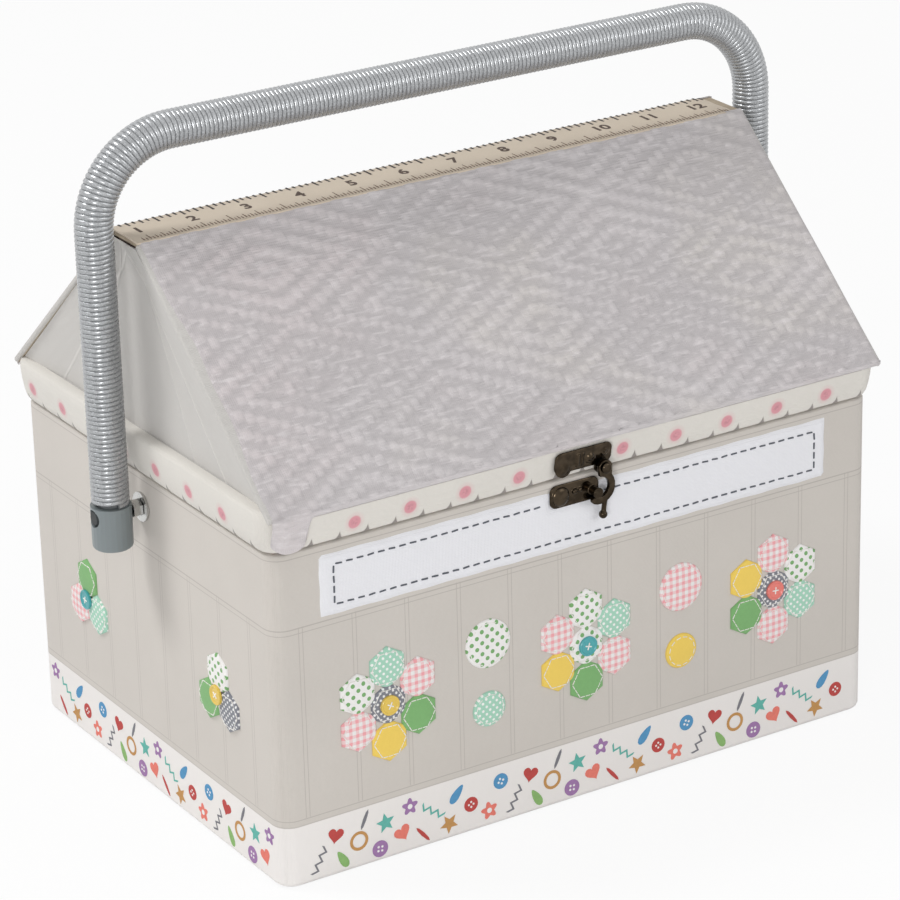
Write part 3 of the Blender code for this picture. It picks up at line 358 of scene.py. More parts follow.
class Finish(Nodes):
    """A Principled material."""

    def __init__(self, name, colour, roughness, metallic=0.0, sheen=0.0, coat=0.0):
        self.material = bpy.data.materials.new(name)
        self.material.use_nodes = True
        super().__init__(self.material.node_tree)
        self.inputs = self.tree.nodes["Principled BSDF"].inputs
        values = {
            "Base Color": (*colour, 1),
            "Roughness": roughness,
            "Metallic": metallic,
            "Sheen Weight": sheen,
            "Sheen Roughness": 0.5,
            "Coat Weight": coat,
        }
        for socket, value in values.items():
            self.inputs[socket].default_value = value
        self.material.diffuse_color = (*colour, 1)
        self.place = self.node("TexCoord").outputs["Object"]

    def part(self, axis):
        found = self.tree.nodes.get("Parts")
        if found is None:
            found = self.node("SeparateXYZ", name="Parts")
            self.link(self.place, found.inputs[0])
        return found.outputs[axis]

    def noise(self, scale, detail=3.0, stretch=None):
        made = self.node("TexNoise")
        place = self.place
        if stretch:
            mapped = self.node("Mapping")
            mapped.inputs["Scale"].default_value = stretch
            self.link(place, mapped.inputs[0])
            place = mapped.outputs[0]
        self.link(place, made.inputs["Vector"])
        made.inputs["Scale"].default_value = scale
        made.inputs["Detail"].default_value = detail
        return made.outputs["Fac"]

    def mix(self, amount, first, second):
        made = self.node("Mix", data_type="RGBA")
        self.link(amount, made.inputs["Factor"])
        for value, socket in ((first, made.inputs[6]), (second, made.inputs[7])):
            self.link(value if isinstance(value, bpy.types.NodeSocket) else (*value, 1), socket)
        return made.outputs[2]

    def weave(self, thread):
        """The height of a plain weave, which shows on faces of any direction."""
        scaled = self.node("VectorMath", operation="SCALE")
        self.link(self.place, scaled.inputs[0])
        scaled.inputs["Scale"].default_value = 2 * math.pi / thread
        wave = self.node("VectorMath", operation="SINE")
        self.link(scaled.outputs[0], wave.inputs[0])
        total = self.node("VectorMath", operation="DOT_PRODUCT")
        self.link(wave.outputs[0], total.inputs[0])
        total.inputs[1].default_value = (1, 1, 1)
        return total.outputs["Value"]

    def bump(self, height, distance, strength=1.0):
        made = self.node("Bump")
        made.inputs["Strength"].default_value = strength
        made.inputs["Distance"].default_value = distance
        self.link(height, made.inputs["Height"])
        last = self.inputs["Normal"].links
        if last:
            self.link(last[0].from_socket, made.inputs["Normal"])
        self.link(made.outputs[0], self.inputs["Normal"])

    def colour(self, value):
        self.link(value, self.inputs["Base Color"])

    def overprint(self, mask, ink):
        """Lays an ink over the colour so far."""
        so_far = self.inputs["Base Color"].links[0].from_socket
        self.colour(self.mix(mask, so_far, ink))

    def roughen(self, noise, low, high):
        """Lets the roughness change slowly between two values."""
        self.link(self.ramp(noise, 0.3, 0.7, low, high), self.inputs["Roughness"])

    def line(self, value, middle, half_width, soft=0.08 * MM):
        """1 within a line of this half width, and 0 outside it."""
        away = self.size_of(self.less(value, middle))
        return self.ramp(away, half_width - soft, half_width + soft, 1.0, 0.0)

    def repeat(self, value, pitch, phase=0.0):
        """The distance, with its sign, to the nearest of a row of places."""
        steps = self.math("DIVIDE", self.less(value, phase), pitch)
        return self.times(self.less(steps, self.math("ROUND", steps)), pitch)


def shade(colour, factor):
    return [min(1.0, c * factor) for c in colour]


def cloth(name, colour, thread=0.55 * MM, variation=0.05, roughness=0.9, sheen=0.15):
    """Plain cotton: a weave, small slubs and slow changes of colour."""
    made = Finish(name, colour, roughness, sheen=sheen)
    patches = made.noise(28, 4)
    slubs = made.noise(900, 2)
    tone = made.plus(made.times(patches, 0.65), made.times(slubs, 0.35))
    made.colour(made.mix(tone, shade(colour, 1 - 1.6 * variation), shade(colour, 1 + 1.2 * variation)))
    made.bump(made.weave(thread), 0.035 * MM, 0.7)
    made.bump(patches, 0.5 * MM, 0.25)
    return made


def plain(name, colour, **settings):
    return cloth(name, colour, **settings).material


BOARD_WIDTH = 25 * MM
BOARD_TOP = 117.2 * MM
# Height and half width of each level line on the walls, in mm
PRINTED_LINES = ((31.2, 0.18), (116.9, 0.25), (114.6, 0.16), (147.6, 0.2))


def walls_cloth(name, axis):
    """The printed cotton of the walls, with boards drawn along one axis and a plain band below."""
    c = colours()
    made = cloth(name, c.wall)
    along = made.part(axis)
    height = made.part("Z")
    edge = sizes().band_height
    above = made.ramp(height, edge + 3 * MM, edge + 3.2 * MM)
    below = made.ramp(height, BOARD_TOP, BOARD_TOP + 0.2 * MM, 1.0, 0.0)
    board = made.repeat(along, BOARD_WIDTH, BOARD_WIDTH / 2)
    pair = made.plus(*(made.line(board, side * 0.9 * MM, 0.14 * MM) for side in (-1, 1)))
    mask = made.times(made.times(above, below), pair)
    for level, half in PRINTED_LINES:
        mask = made.most(mask, made.line(height, level * MM, half * MM))
    made.overprint(made.times(mask, 0.85), c.wall_line)
    made.overprint(made.ramp(height, edge - 0.05 * MM, edge + 0.05 * MM, 1.0, 0.0), c.band)
    made.overprint(made.times(made.line(height, edge, 0.25 * MM), 0.7), c.wall_line)
    return made.material


SCALLOP_HEIGHT = 4.2 * MM


def rim_cloth(name, axis, pitch, phase, level):
    """Cream cotton with dots and a scalloped lower edge, which has two scallops to a dot. Below the edge the grey
    cloth shows, darkened with painted shade.
    """
    c = colours()
    made = cloth(name, c.rim)
    along = made.repeat(made.part(axis), pitch, phase)
    height = made.part("Z")
    across = made.math("DIVIDE", made.repeat(made.part(axis), pitch / 2, phase), pitch / 2)
    arch = made.times(made.times(across, across), 4.0)
    edge = made.plus(LID_FOOT + 0.2 * MM, made.times(made.math("POWER", arch, 3.0), SCALLOP_HEIGHT))
    over = made.less(height, edge)
    # The grey cloth that shows below the scalloped edge at the cusps is darkened as painted shade.
    made.overprint(made.ramp(over, -0.05 * MM, 0.05 * MM, 1.0, 0.0), shade(c.wall_line, 0.62))
    made.overprint(made.times(made.line(over, 0.3 * MM, 0.45 * MM, 0.4 * MM), 0.3), c.wall_line)
    away = made.distance(along, made.less(height, level))
    end = (CORNER_X if axis == "X" else CORNER_Y) - 2 * MM
    away = made.plus(away, made.ramp(made.size_of(made.part(axis)), end, end + 0.2 * MM))
    radius = sizes().dot_radius
    made.overprint(made.ramp(away, radius * 0.9, radius + 2.2 * MM, 0.3, 0.0), c.dot)
    made.overprint(made.ramp(away, radius - 0.35 * MM, radius + 0.25 * MM, 0.92, 0.0), c.dot)
    middle = made.ramp(away, 0.9 * MM, 2.2 * MM, 0.55, 0.0)
    made.overprint(made.times(middle, made.ramp(made.noise(900), 0.4, 0.6)), shade(c.dot, 0.7))
    return made.material


def quilt_cloth():
    """Pale matelasse: threads across the slope, faint tints of pink and cream, and painted shade in the hollows
    between the floats.
    """
    c = colours()
    made = cloth("quilt_cloth", c.quilt, thread=0.9 * MM, variation=0.035)
    stains = made.noise(13, 2)
    made.overprint(made.ramp(stains, 0.53, 0.68, 0.0, 0.18), linear(219, 200, 200))
    made.overprint(made.ramp(stains, 0.47, 0.34, 0.0, 0.34), linear(212, 206, 196))
    # Painted shade: the hollows between the floats, where the relief attribute is low, are darkened.
    hollow = made.node("Attribute", attribute_name="relief")
    made.overprint(made.ramp(hollow.outputs["Fac"], 0.0, 0.5, 0.5, 0.0), shade(c.quilt, 0.7))
    threads = made.noise(520, 3, (0.22, 1, 1))
    made.overprint(made.ramp(threads, 0.54, 0.7, 0.0, 0.55), shade(c.quilt, 1.2))
    made.overprint(made.ramp(threads, 0.44, 0.3, 0.0, 0.4), shade(c.quilt, 0.72))
    made.bump(threads, 0.45 * MM, 0.9)
    return made.material


# Each crease as a line: the parts of its normal aside and up, its distance in mm, and how strong its painted
# highlight is
CREASES = ((0.741, 0.671, 166.6, 0.5), (0.889, 0.458, 118.3, 0.28))


def gable_cloth():
    """Plain cloth with two creases that run from the top down to each side, each with a bump and a painted
    highlight along it.
    """
    colour = colours().gable
    made = cloth("gable_cloth", colour)
    aside = made.size_of(made.part("Y"))
    for across, up, reach, amount in CREASES:
        away = made.plus(made.times(aside, across), made.times(made.part("Z"), up))
        crease_and_highlight = made.line(away, reach * MM, 0.5 * MM, 0.5 * MM)
        # Painted highlight: a lighter line along the crease.
        made.overprint(made.times(crease_and_highlight, amount), shade(colour, 1.3))
        made.bump(crease_and_highlight, 0.35 * MM, 0.8)
    return made.material


def gingham(name, colour, first, second, pitch):
    """Woven checks: colour where both stripes cross, and half of it where one runs."""
    made = cloth(name, [0.83, 0.81, 0.80])
    total = 0.0
    for axis in (first, second):
        away = made.size_of(made.repeat(made.part(axis), pitch))
        stripe = made.ramp(away, pitch / 4, pitch / 4 + 0.1 * MM)
        total = made.plus(total, made.times(stripe, 0.48))
    made.overprint(total, colour)
    return made.material


def dotted(name, ground, ink, first, second, pitch, radius):
    """Small dots in offset rows."""
    made = cloth(name, ground)
    mask = 0.0
    for phase in (0.0, pitch / 2):
        away = made.distance(*(made.repeat(made.part(axis), pitch, phase) for axis in (first, second)))
        mask = made.most(mask, made.ramp(away, radius, radius + 0.12 * MM, 1.0, 0.0))
    made.overprint(mask, ink)
    return made.material


def print_ink(name, colour):
    """A flat ink on cotton, a little uneven."""
    made = Finish(name, colour, 0.85)
    made.colour(made.mix(made.noise(700, 3), shade(colour, 0.86), shade(colour, 1.12)))
    made.bump(made.weave(0.55 * MM), 0.03 * MM, 0.6)
    return made.material


def wound_cord():
    """Silvery thread: dull strands with small bright and dark flecks, a random tone of the thread, with the bright
    ones also as painted glints.
    """
    colour = colours().cord
    made = Finish("wound_cord", colour, 0.4, metallic=0.6, sheen=0.1)
    flecks_and_glints = made.noise(2100, 4)
    # The flecks are random tone of the thread. The bright ones are also painted glints.
    made.colour(made.mix(made.ramp(flecks_and_glints, 0.36, 0.66), shade(colour, 0.72), shade(colour, 1.24)))
    made.roughen(made.noise(120, 2), 0.2, 0.34)
    made.bump(flecks_and_glints, 0.05 * MM, 0.6)
    return made.material


def moulded(name, colour, roughness):
    made = Finish(name, colour, roughness, coat=0.05)
    made.colour(made.mix(made.noise(60, 2), shade(colour, 0.95), shade(colour, 1.05)))
    made.roughen(made.noise(45, 3), roughness - 0.05, roughness + 0.08)
    made.bump(made.noise(1100, 2), 0.02 * MM, 0.5)
    return made.material


def metal(name, colour, roughness, patina):
    made = Finish(name, colour, roughness, metallic=1.0)
    spots = made.ramp(made.noise(260, 4), 0.4, 0.62)
    made.colour(made.mix(spots, shade(colour, 1 - patina), shade(colour, 1 + 0.7 * patina)))
    made.roughen(made.noise(180, 3), roughness - 0.08, roughness + 0.14)
    made.bump(made.noise(700, 2), 0.03 * MM, 0.5)
    return made.material


def board_finish():
    made = Finish("board", linear(172, 158, 138), 0.85)
    fibres = made.noise(240, 4)
    made.colour(made.mix(fibres, linear(160, 146, 126), linear(184, 170, 150)))
    made.bump(fibres, 0.05 * MM, 0.5)
    return made.material


# Shapes that several pieces share


def add_rounded_plane(half_x, half_y, radius, level=0.0):
    """A flat face with round corners."""
    thing = add("plane", size=2)
    thing.scale = (half_x, half_y, 1)
    settle(thing)
    if radius:
        with editing(thing, "VERT"):
            bpy.ops.mesh.bevel(offset=radius, segments=6, affect="VERTICES")
    thing.location.z = level
    return settle(thing)


def step_face(thing, steps):
    """Insets the one face again and again, each time with a step up or down."""
    with editing(thing):
        for inward, up in steps:
            if inward:
                bpy.ops.mesh.inset(thickness=inward, depth=up)
            else:
                raise_selected(up)


def cloth_ring(half_x, half_y, corner, level, ways, thickness, inward=False):
    """A sleeve of cloth round a box, made outwards from its widest line in steps up and down."""
    parts = []
    for steps in ways:
        half = add_rounded_plane(half_x, half_y, corner, level)
        step_face(half, steps)
        with editing(half, select=None):
            bpy.ops.mesh.delete(type="FACE")
        parts.append(half)
    thing = join("ring", parts)
    recalculate(thing)
    side = max(thing.data.polygons, key=lambda face: face.center.y * (abs(face.normal.y) > 0.7))
    if (side.normal.y < 0) != inward:
        with editing(thing):
            bpy.ops.mesh.flip_normals()
    modifier(thing, "SOLIDIFY", thickness=thickness, offset=-1)
    return thing


def side_faces(thing, finish):
    """Gives the faces that look along X a second material."""
    thing.data.materials.append(finish)
    for face in thing.data.polygons:
        if abs(face.normal.x) > max(abs(face.normal.y), 0.3):
            face.material_index = 1


def slope_matrix(side):
    """From (x, distance down the slope, height above it) to the frame, on the front or rear slope."""
    down = Vector((0, side * math.cos(PITCH), -math.sin(PITCH)))
    out = Vector((0, side * math.sin(PITCH), math.cos(PITCH)))
    return shift(0, side * RIDGE_HALF, RIDGE_Z) @ Matrix((Vector((1, 0, 0)), down, out)).transposed().to_4x4()


def wall_matrix(name, along, height, turn=0.0, out=0.0):
    """From a shape's own plane, which looks along +Z, to a place on one of the four walls."""
    quarter = ("front", "right", "rear", "left").index(name)
    reach = HALF_DEPTH if quarter % 2 == 0 else HALF_LENGTH
    return turned(quarter * QUARTER) @ shift(along, -reach - out, height) @ TURN_TO_FRONT @ turned(turn)


def reshape(thing, place):
    """Moves each point of a flat grid to where a function of its x and y puts it."""
    for vert in thing.data.vertices:
        vert.co = place(vert.co.x, vert.co.y)


def swell(thing, voxel, pressure, cap):
    """Blows a closed shape up as a stuffed cloth cover, and holds each point near its start."""
    modifier(thing, "REMESH", mode="VOXEL", voxel_size=voxel)
    apply_modifiers(thing)
    starts = [vert.co.copy() for vert in thing.data.vertices]
    added = modifier(thing, "CLOTH")
    added.settings.use_pressure = True
    added.settings.uniform_pressure_force = pressure
    added.settings.effector_weights.gravity = 0
    for number in range(1, 21):
        bpy.context.scene.frame_set(number)
    apply_modifiers(thing)
    bpy.context.scene.frame_set(1)
    for vert, start in zip(thing.data.vertices, starts):
        moved = vert.co - start
        if moved.length > cap:
            vert.co = start + moved * (cap / moved.length)
    modifier(thing, "SUBSURF", levels=1, render_levels=1)
    apply_modifiers(thing)


def add_stitch(long, radius):
    """One thread stitch, a long bead that lies along X."""
    stitch = add("uv_sphere", segments=8, ring_count=5, radius=radius, rotation=(0, QUARTER, 0))
    settle(stitch)
    for vert in stitch.data.vertices:
        if abs(vert.co.x) > radius * 0.1:
            vert.co.x += math.copysign(long / 2 - radius, vert.co.x)
    return stitch


def along_path(points, pitch):
    """Places along a closed line in the plane y = constant: position and angle in (x, z)."""
    found = []
    for (ax, az), (bx, bz) in zip(points, points[1:] + points[:1]):
        count = max(1, round(math.hypot(bx - ax, bz - az) / pitch))
        angle = math.atan2(bz - az, bx - ax)
        for number in range(count):
            share = (number + 0.5) / count
            found.append((ax + (bx - ax) * share, az + (bz - az) * share, angle))
    return found


# Operators, one for each piece or group of like pieces


class SewingBoxOperator(bpy.types.Operator):
    bl_options = {"REGISTER", "UNDO"}

    def execute(self, context):
        self.build()
        return {"FINISHED"}


RIGID_KINDS = (
    (("ledge",), "lining_cotton"),
    (("pivot_bolt",), "dark_steel"),
    (("pivot_",), "bright_steel"),
    (("hinge_", "latch_"), "antique_bronze"),
    (("handle_cap",), "cap_plastic"),
    (("handle_core",), "core_plastic"),
    (("_gable", "_rail"), "lining_cotton"),
    (("_board",), "greyboard"),
    (("tray",), "tray_plastic"),
)


class SEWBOX_OT_finishes(SewingBoxOperator):
    """Give the CAD parts that stay their materials"""

    bl_idname = "sewbox.finishes"
    bl_label = "Rigid parts"

    def build(self):
        c = colours()
        found = {
            "greyboard": board_finish(),
            "tray_plastic": moulded("tray_plastic", linear(236, 233, 228), roughness=0.42),
            "core_plastic": moulded("core_plastic", linear(110, 114, 116), roughness=0.5),
            "cap_plastic": moulded("cap_plastic", c.cap, roughness=0.36),
            "bright_steel": metal("bright_steel", linear(205, 205, 203), roughness=0.24, patina=0.06),
            "dark_steel": metal("dark_steel", linear(58, 61, 62), roughness=0.36, patina=0.1),
            "antique_bronze": metal("antique_bronze", c.bronze, roughness=0.32, patina=0.3),
            "lining_cotton": plain("lining_rigid", c.lining),
        }
        for name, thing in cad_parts.items():
            kind = next((kind for words, kind in RIGID_KINDS if any(word in name for word in words)), None)
            if kind is not None:
                thing.data.materials.clear()
                thing.data.materials.append(found[kind])


class SEWBOX_OT_walls(SewingBoxOperator):
    """Make the printed cover of the walls and the cloth under the box"""

    bl_idname = "sewbox.walls"
    bl_label = "Walls"

    def build(self):
        start = COVER_LOW.z + 2.2 * MM
        top = WALL_TOP + 0.1 * MM
        rising = [
            (0, top - 1.2 * MM - start),
            (0.35 * MM, 0.6 * MM),
            (0.75 * MM, 0.4 * MM),
            (2.2 * MM, 0.2 * MM),
            (4.4 * MM, HARDLY),
        ]
        falling = [(0.5 * MM, -1.2 * MM), (0.8 * MM, -0.7 * MM), (1.5 * MM, -0.25 * MM)]
        cover = cloth_ring(HALF_LENGTH, HALF_DEPTH, CORNER_RADIUS, start, (rising, falling), 0.05 * MM)
        piece(cover, "walls_cover", walls_cloth("walls_front", "X"), "body", ["body_cover"])
        side_faces(cover, walls_cloth("walls_sides", "Y"))
        low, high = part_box("base_cloth")
        under = add_rounded_plane(high.x, high.y, 5 * MM, high.z)
        modifier(under, "SOLIDIFY", thickness=high.z - low.z, offset=-1)
        recalculate(under)
        finish = plain("underside", shade(colours().wall, 0.9))
        piece(under, "underside_cloth", finish, "body", ["base_cloth"])


class SEWBOX_OT_sign(SewingBoxOperator):
    """Make the blank white panel above the front and its dashed stitches"""

    bl_idname = "sewbox.sign"
    bl_label = "Sign panel"

    left: length("Left", -128)
    right: length("Right", 125)
    low: length("Bottom", 118.8)
    high: length("Top", 145.8)

    def build(self):
        half_x = (self.right - self.left) / 2
        half_z = (self.high - self.low) / 2
        panel = add("grid", x_subdivisions=168, y_subdivisions=18, size=1)
        panel.scale = (2 * half_x, 2 * half_z, 1)
        settle(panel)
        middle = Vector(((self.left + self.right) / 2, -HALF_DEPTH, (self.low + self.high) / 2))
        draw = random.Random(4)
        waves = [draw.uniform(0, 6) for _ in range(3)]
        for vert in panel.data.vertices:
            x, z = vert.co.x, vert.co.y
            rim = min(half_x - abs(x), half_z - abs(z))
            lift = 0.95 * MM * min(1, rim / (1.2 * MM)) ** 0.5 if rim > 0 else 0
            wave = math.sin(x * 90 + waves[0]) * math.sin(z * 260 + waves[1])
            lift += 0.07 * MM * wave * min(1, rim / (4 * MM))
            vert.co.z = lift * self.beside_keeper(x + middle.x, z + middle.z) + 0.12 * MM
            if rim < 0.01 * MM:
                vert.co.z = -0.05 * MM
                vert.co.x += 0.15 * MM * math.sin(z * 500 + waves[2])
                vert.co.y += 0.15 * MM * math.sin(x * 300 + waves[2])
        thicken(panel, 0.1 * MM, place=Matrix.Translation(middle) @ TURN_TO_FRONT)
        felt = cloth("white_felt", linear(229, 229, 233), thread=0.7 * MM, variation=0.02)
        piece(panel, "sign_panel", felt.material, "body")
        self.stitches(draw)

    def beside_keeper(self, x, z):
        """0 under the latch's lower plate, which presses the panel flat, and 1 away from it."""
        gap_x = max(KEEPER_LOW.x - x, x - KEEPER_HIGH.x, 0)
        gap_z = max(KEEPER_LOW.z - z, z - KEEPER_HIGH.z, 0)
        return min(1, math.hypot(gap_x, gap_z) / (2.2 * MM))

    def stitches(self, draw):
        inset = 6.2 * MM
        rise = 4.7 * MM
        left, right, low, high = self.left + inset, self.right - inset, self.low + rise, self.high - rise
        stitch = add_stitch(3.2 * MM, 0.42 * MM)
        places = []
        corners = [(left, low), (right, low), (right, high), (left, high)]
        for x, z, angle in along_path(corners, sizes().stitch_pitch):
            hidden = KEEPER_LOW.x - 3 * MM < x < KEEPER_HIGH.x + 3 * MM and z > KEEPER_LOW.z - MM
            if not hidden:
                tilt = angle + draw.uniform(-0.09, 0.09)
                places.append(shift(x, -HALF_DEPTH - 1.12 * MM, z) @ turned(-tilt, "Y"))
        stitches = scatter("sign_stitches", stitch, places)
        thread = plain("dark_thread", linear(92, 96, 104), thread=0.3 * MM)
        piece(stitches, "sign_stitches", thread, "body")


class SEWBOX_OT_rim(SewingBoxOperator):
    """Make the padded, flared rim of the lid"""

    bl_idname = "sewbox.rim"
    bl_label = "Rim"

    # Where the padding is cut across so that it can be pressed, in mm along the front
    PRESSED = (-28, -23, -18, -8, 4, 16, 28, 34, 39, 44)
    PRESS_EASE = 10

    def build(self):
        drop = RIM_LEVEL - LID_FOOT
        rising = [(0.75 * MM, 1.45 * MM), (1.5 * MM, 0.7 * MM), (2.6 * MM, 0.05 * MM)]
        falling = [
            (0.05 * MM, -0.16 * drop),
            (0.35 * MM, -0.24 * drop),
            (0.75 * MM, -0.25 * drop),
            (0.95 * MM, -0.20 * drop),
            (0.95 * MM, -0.09 * drop),
            (1.15 * MM, -0.01 * drop - 0.08 * MM),
            (3.2 * MM, HARDLY),
            (3.6 * MM, HARDLY),
        ]
        half_x, half_y, corner = (reach + RIM_FLARE for reach in (HALF_LENGTH, HALF_DEPTH, CORNER_RADIUS))
        rim = cloth_ring(half_x, half_y, corner, RIM_LEVEL, (rising, falling), 0.05 * MM)
        self.press(rim)
        apply_modifiers(rim)
        for side in (-1, 1):
            place = slope_matrix(side)
            point = place @ Vector((0, 0, -ROOF_DEPTH))
            normal = place.to_3x3() @ Vector((0, 0, 1))
            with editing(rim):
                bpy.ops.mesh.bisect(plane_co=point, plane_no=normal, clear_outer=True)
                bpy.ops.mesh.select_all(action="SELECT")
                bpy.ops.mesh.fill_holes(sides=0)
        front = rim_cloth("rim_front", "X", pitch=26.2 * MM, phase=-7.2 * MM, level=LID_FOOT + 7.0 * MM)
        piece(rim, "lid_rim", front, "lid", ["rim_cover"])
        side_faces(rim, rim_cloth("rim_sides", "Y", pitch=28 * MM, phase=9 * MM, level=LID_FOOT + 8.4 * MM))

    def press(self, rim):
        """Presses the padding flat behind the latch, where its plate lies and its hook swings."""
        for x in self.PRESSED:
            with editing(rim):
                bpy.ops.mesh.bisect(plane_co=(x * MM, 0, 0), plane_no=(1, 0, 0))
        first, last = self.PRESSED[0], self.PRESSED[-1]
        foot = LID_FOOT + 0.7 * MM
        for vert in rim.data.vertices:
            x = vert.co.x
            if vert.co.y > -CORNER_Y or not first * MM < x < last * MM:
                continue
            near = min(1, (x / MM - first) / self.PRESS_EASE, (last - x / MM) / self.PRESS_EASE)
            lean = RIM_FLARE * (vert.co.z - foot) / (RIM_LEVEL - foot)
            flat = -HALF_DEPTH - max(0, lean) + 0.3 * MM
            vert.co.y += max(0, flat - vert.co.y) * near


class SEWBOX_OT_gables(SewingBoxOperator):
    """Make the plain cloth of both gables, creased where it flares out to the roof's edge"""

    bl_idname = "sewbox.gables"
    bl_label = "Gables"

    # The flat middle of the panel, above which and beside which it flares out
    MIDDLE_FOOT = 70 * MM
    MIDDLE_TOP = 10 * MM
    MIDDLE_HEIGHT = 237 * MM
    CREASE_DEPTH = 1.3 * MM

    def build(self):
        finish = gable_cloth()
        foot = RIM_HIGH.z - 0.2 * MM
        top = GABLE_HIGH.z - 0.3 * MM
        wide, narrow = self.half_width(foot), self.half_width(top)
        out = ROOF_HALF - GABLE_LOW.x - 0.4 * MM
        for name, side in (("left", -1), ("right", 1)):
            panel = add("plane", size=2)
            with editing(panel):
                bpy.ops.mesh.inset(thickness=0.3)
            for vert in panel.data.vertices:
                hand, upper = math.copysign(1, vert.co.x), vert.co.y > 0
                if abs(vert.co.x) > 0.9:
                    vert.co = (hand * narrow, top, out) if upper else (hand * wide, foot, 2.6 * MM)
                elif upper:
                    vert.co = (hand * self.MIDDLE_TOP, self.MIDDLE_HEIGHT, 0.75 * MM)
                else:
                    vert.co = (hand * self.MIDDLE_FOOT, foot, 0.75 * MM)
            with editing(panel, "EDGE", select=None):
                self.select_creases(panel)
                bpy.ops.mesh.bevel(offset=2.5 * MM, segments=3)
                bpy.ops.mesh.select_all(action="SELECT")
                bpy.ops.mesh.subdivide(number_cuts=3)
            turn = random.Random(11 + side).uniform(0, 6)
            for vert in panel.data.vertices:
                vert.co.z += 0.18 * MM * math.sin(vert.co.x * 75 + turn) * math.sin(vert.co.y * 60 + turn)
            place = shift(GABLE_LOW.x) @ TURN_TO_X
            thicken(panel, 0.5 * MM, place=place if side > 0 else turned(math.pi) @ place)
            piece(panel, f"gable_{name}", finish, "lid", [f"gable_cloth_{name}"], smooth=50)

    def half_width(self, level):
        """From the middle to the roof's underside at this height."""
        depth = ROOF_DEPTH + 0.2 * MM
        return EAVE_Y - (level - EAVE_Z + depth / math.cos(PITCH)) / math.tan(PITCH)

    def select_creases(self, panel):
        """Selects the two steep sides of the flat middle, in edit mode."""
        shape = bmesh.from_edit_mesh(panel.data)
        for edge in shape.edges:
            a, b = (vert.co for vert in edge.verts)
            flat = max(a.z, b.z) < self.CREASE_DEPTH
            edge.select_set(flat and abs(a.x - b.x) < 80 * MM and abs(a.y - b.y) > 30 * MM)
        bmesh.update_edit_mesh(panel.data)


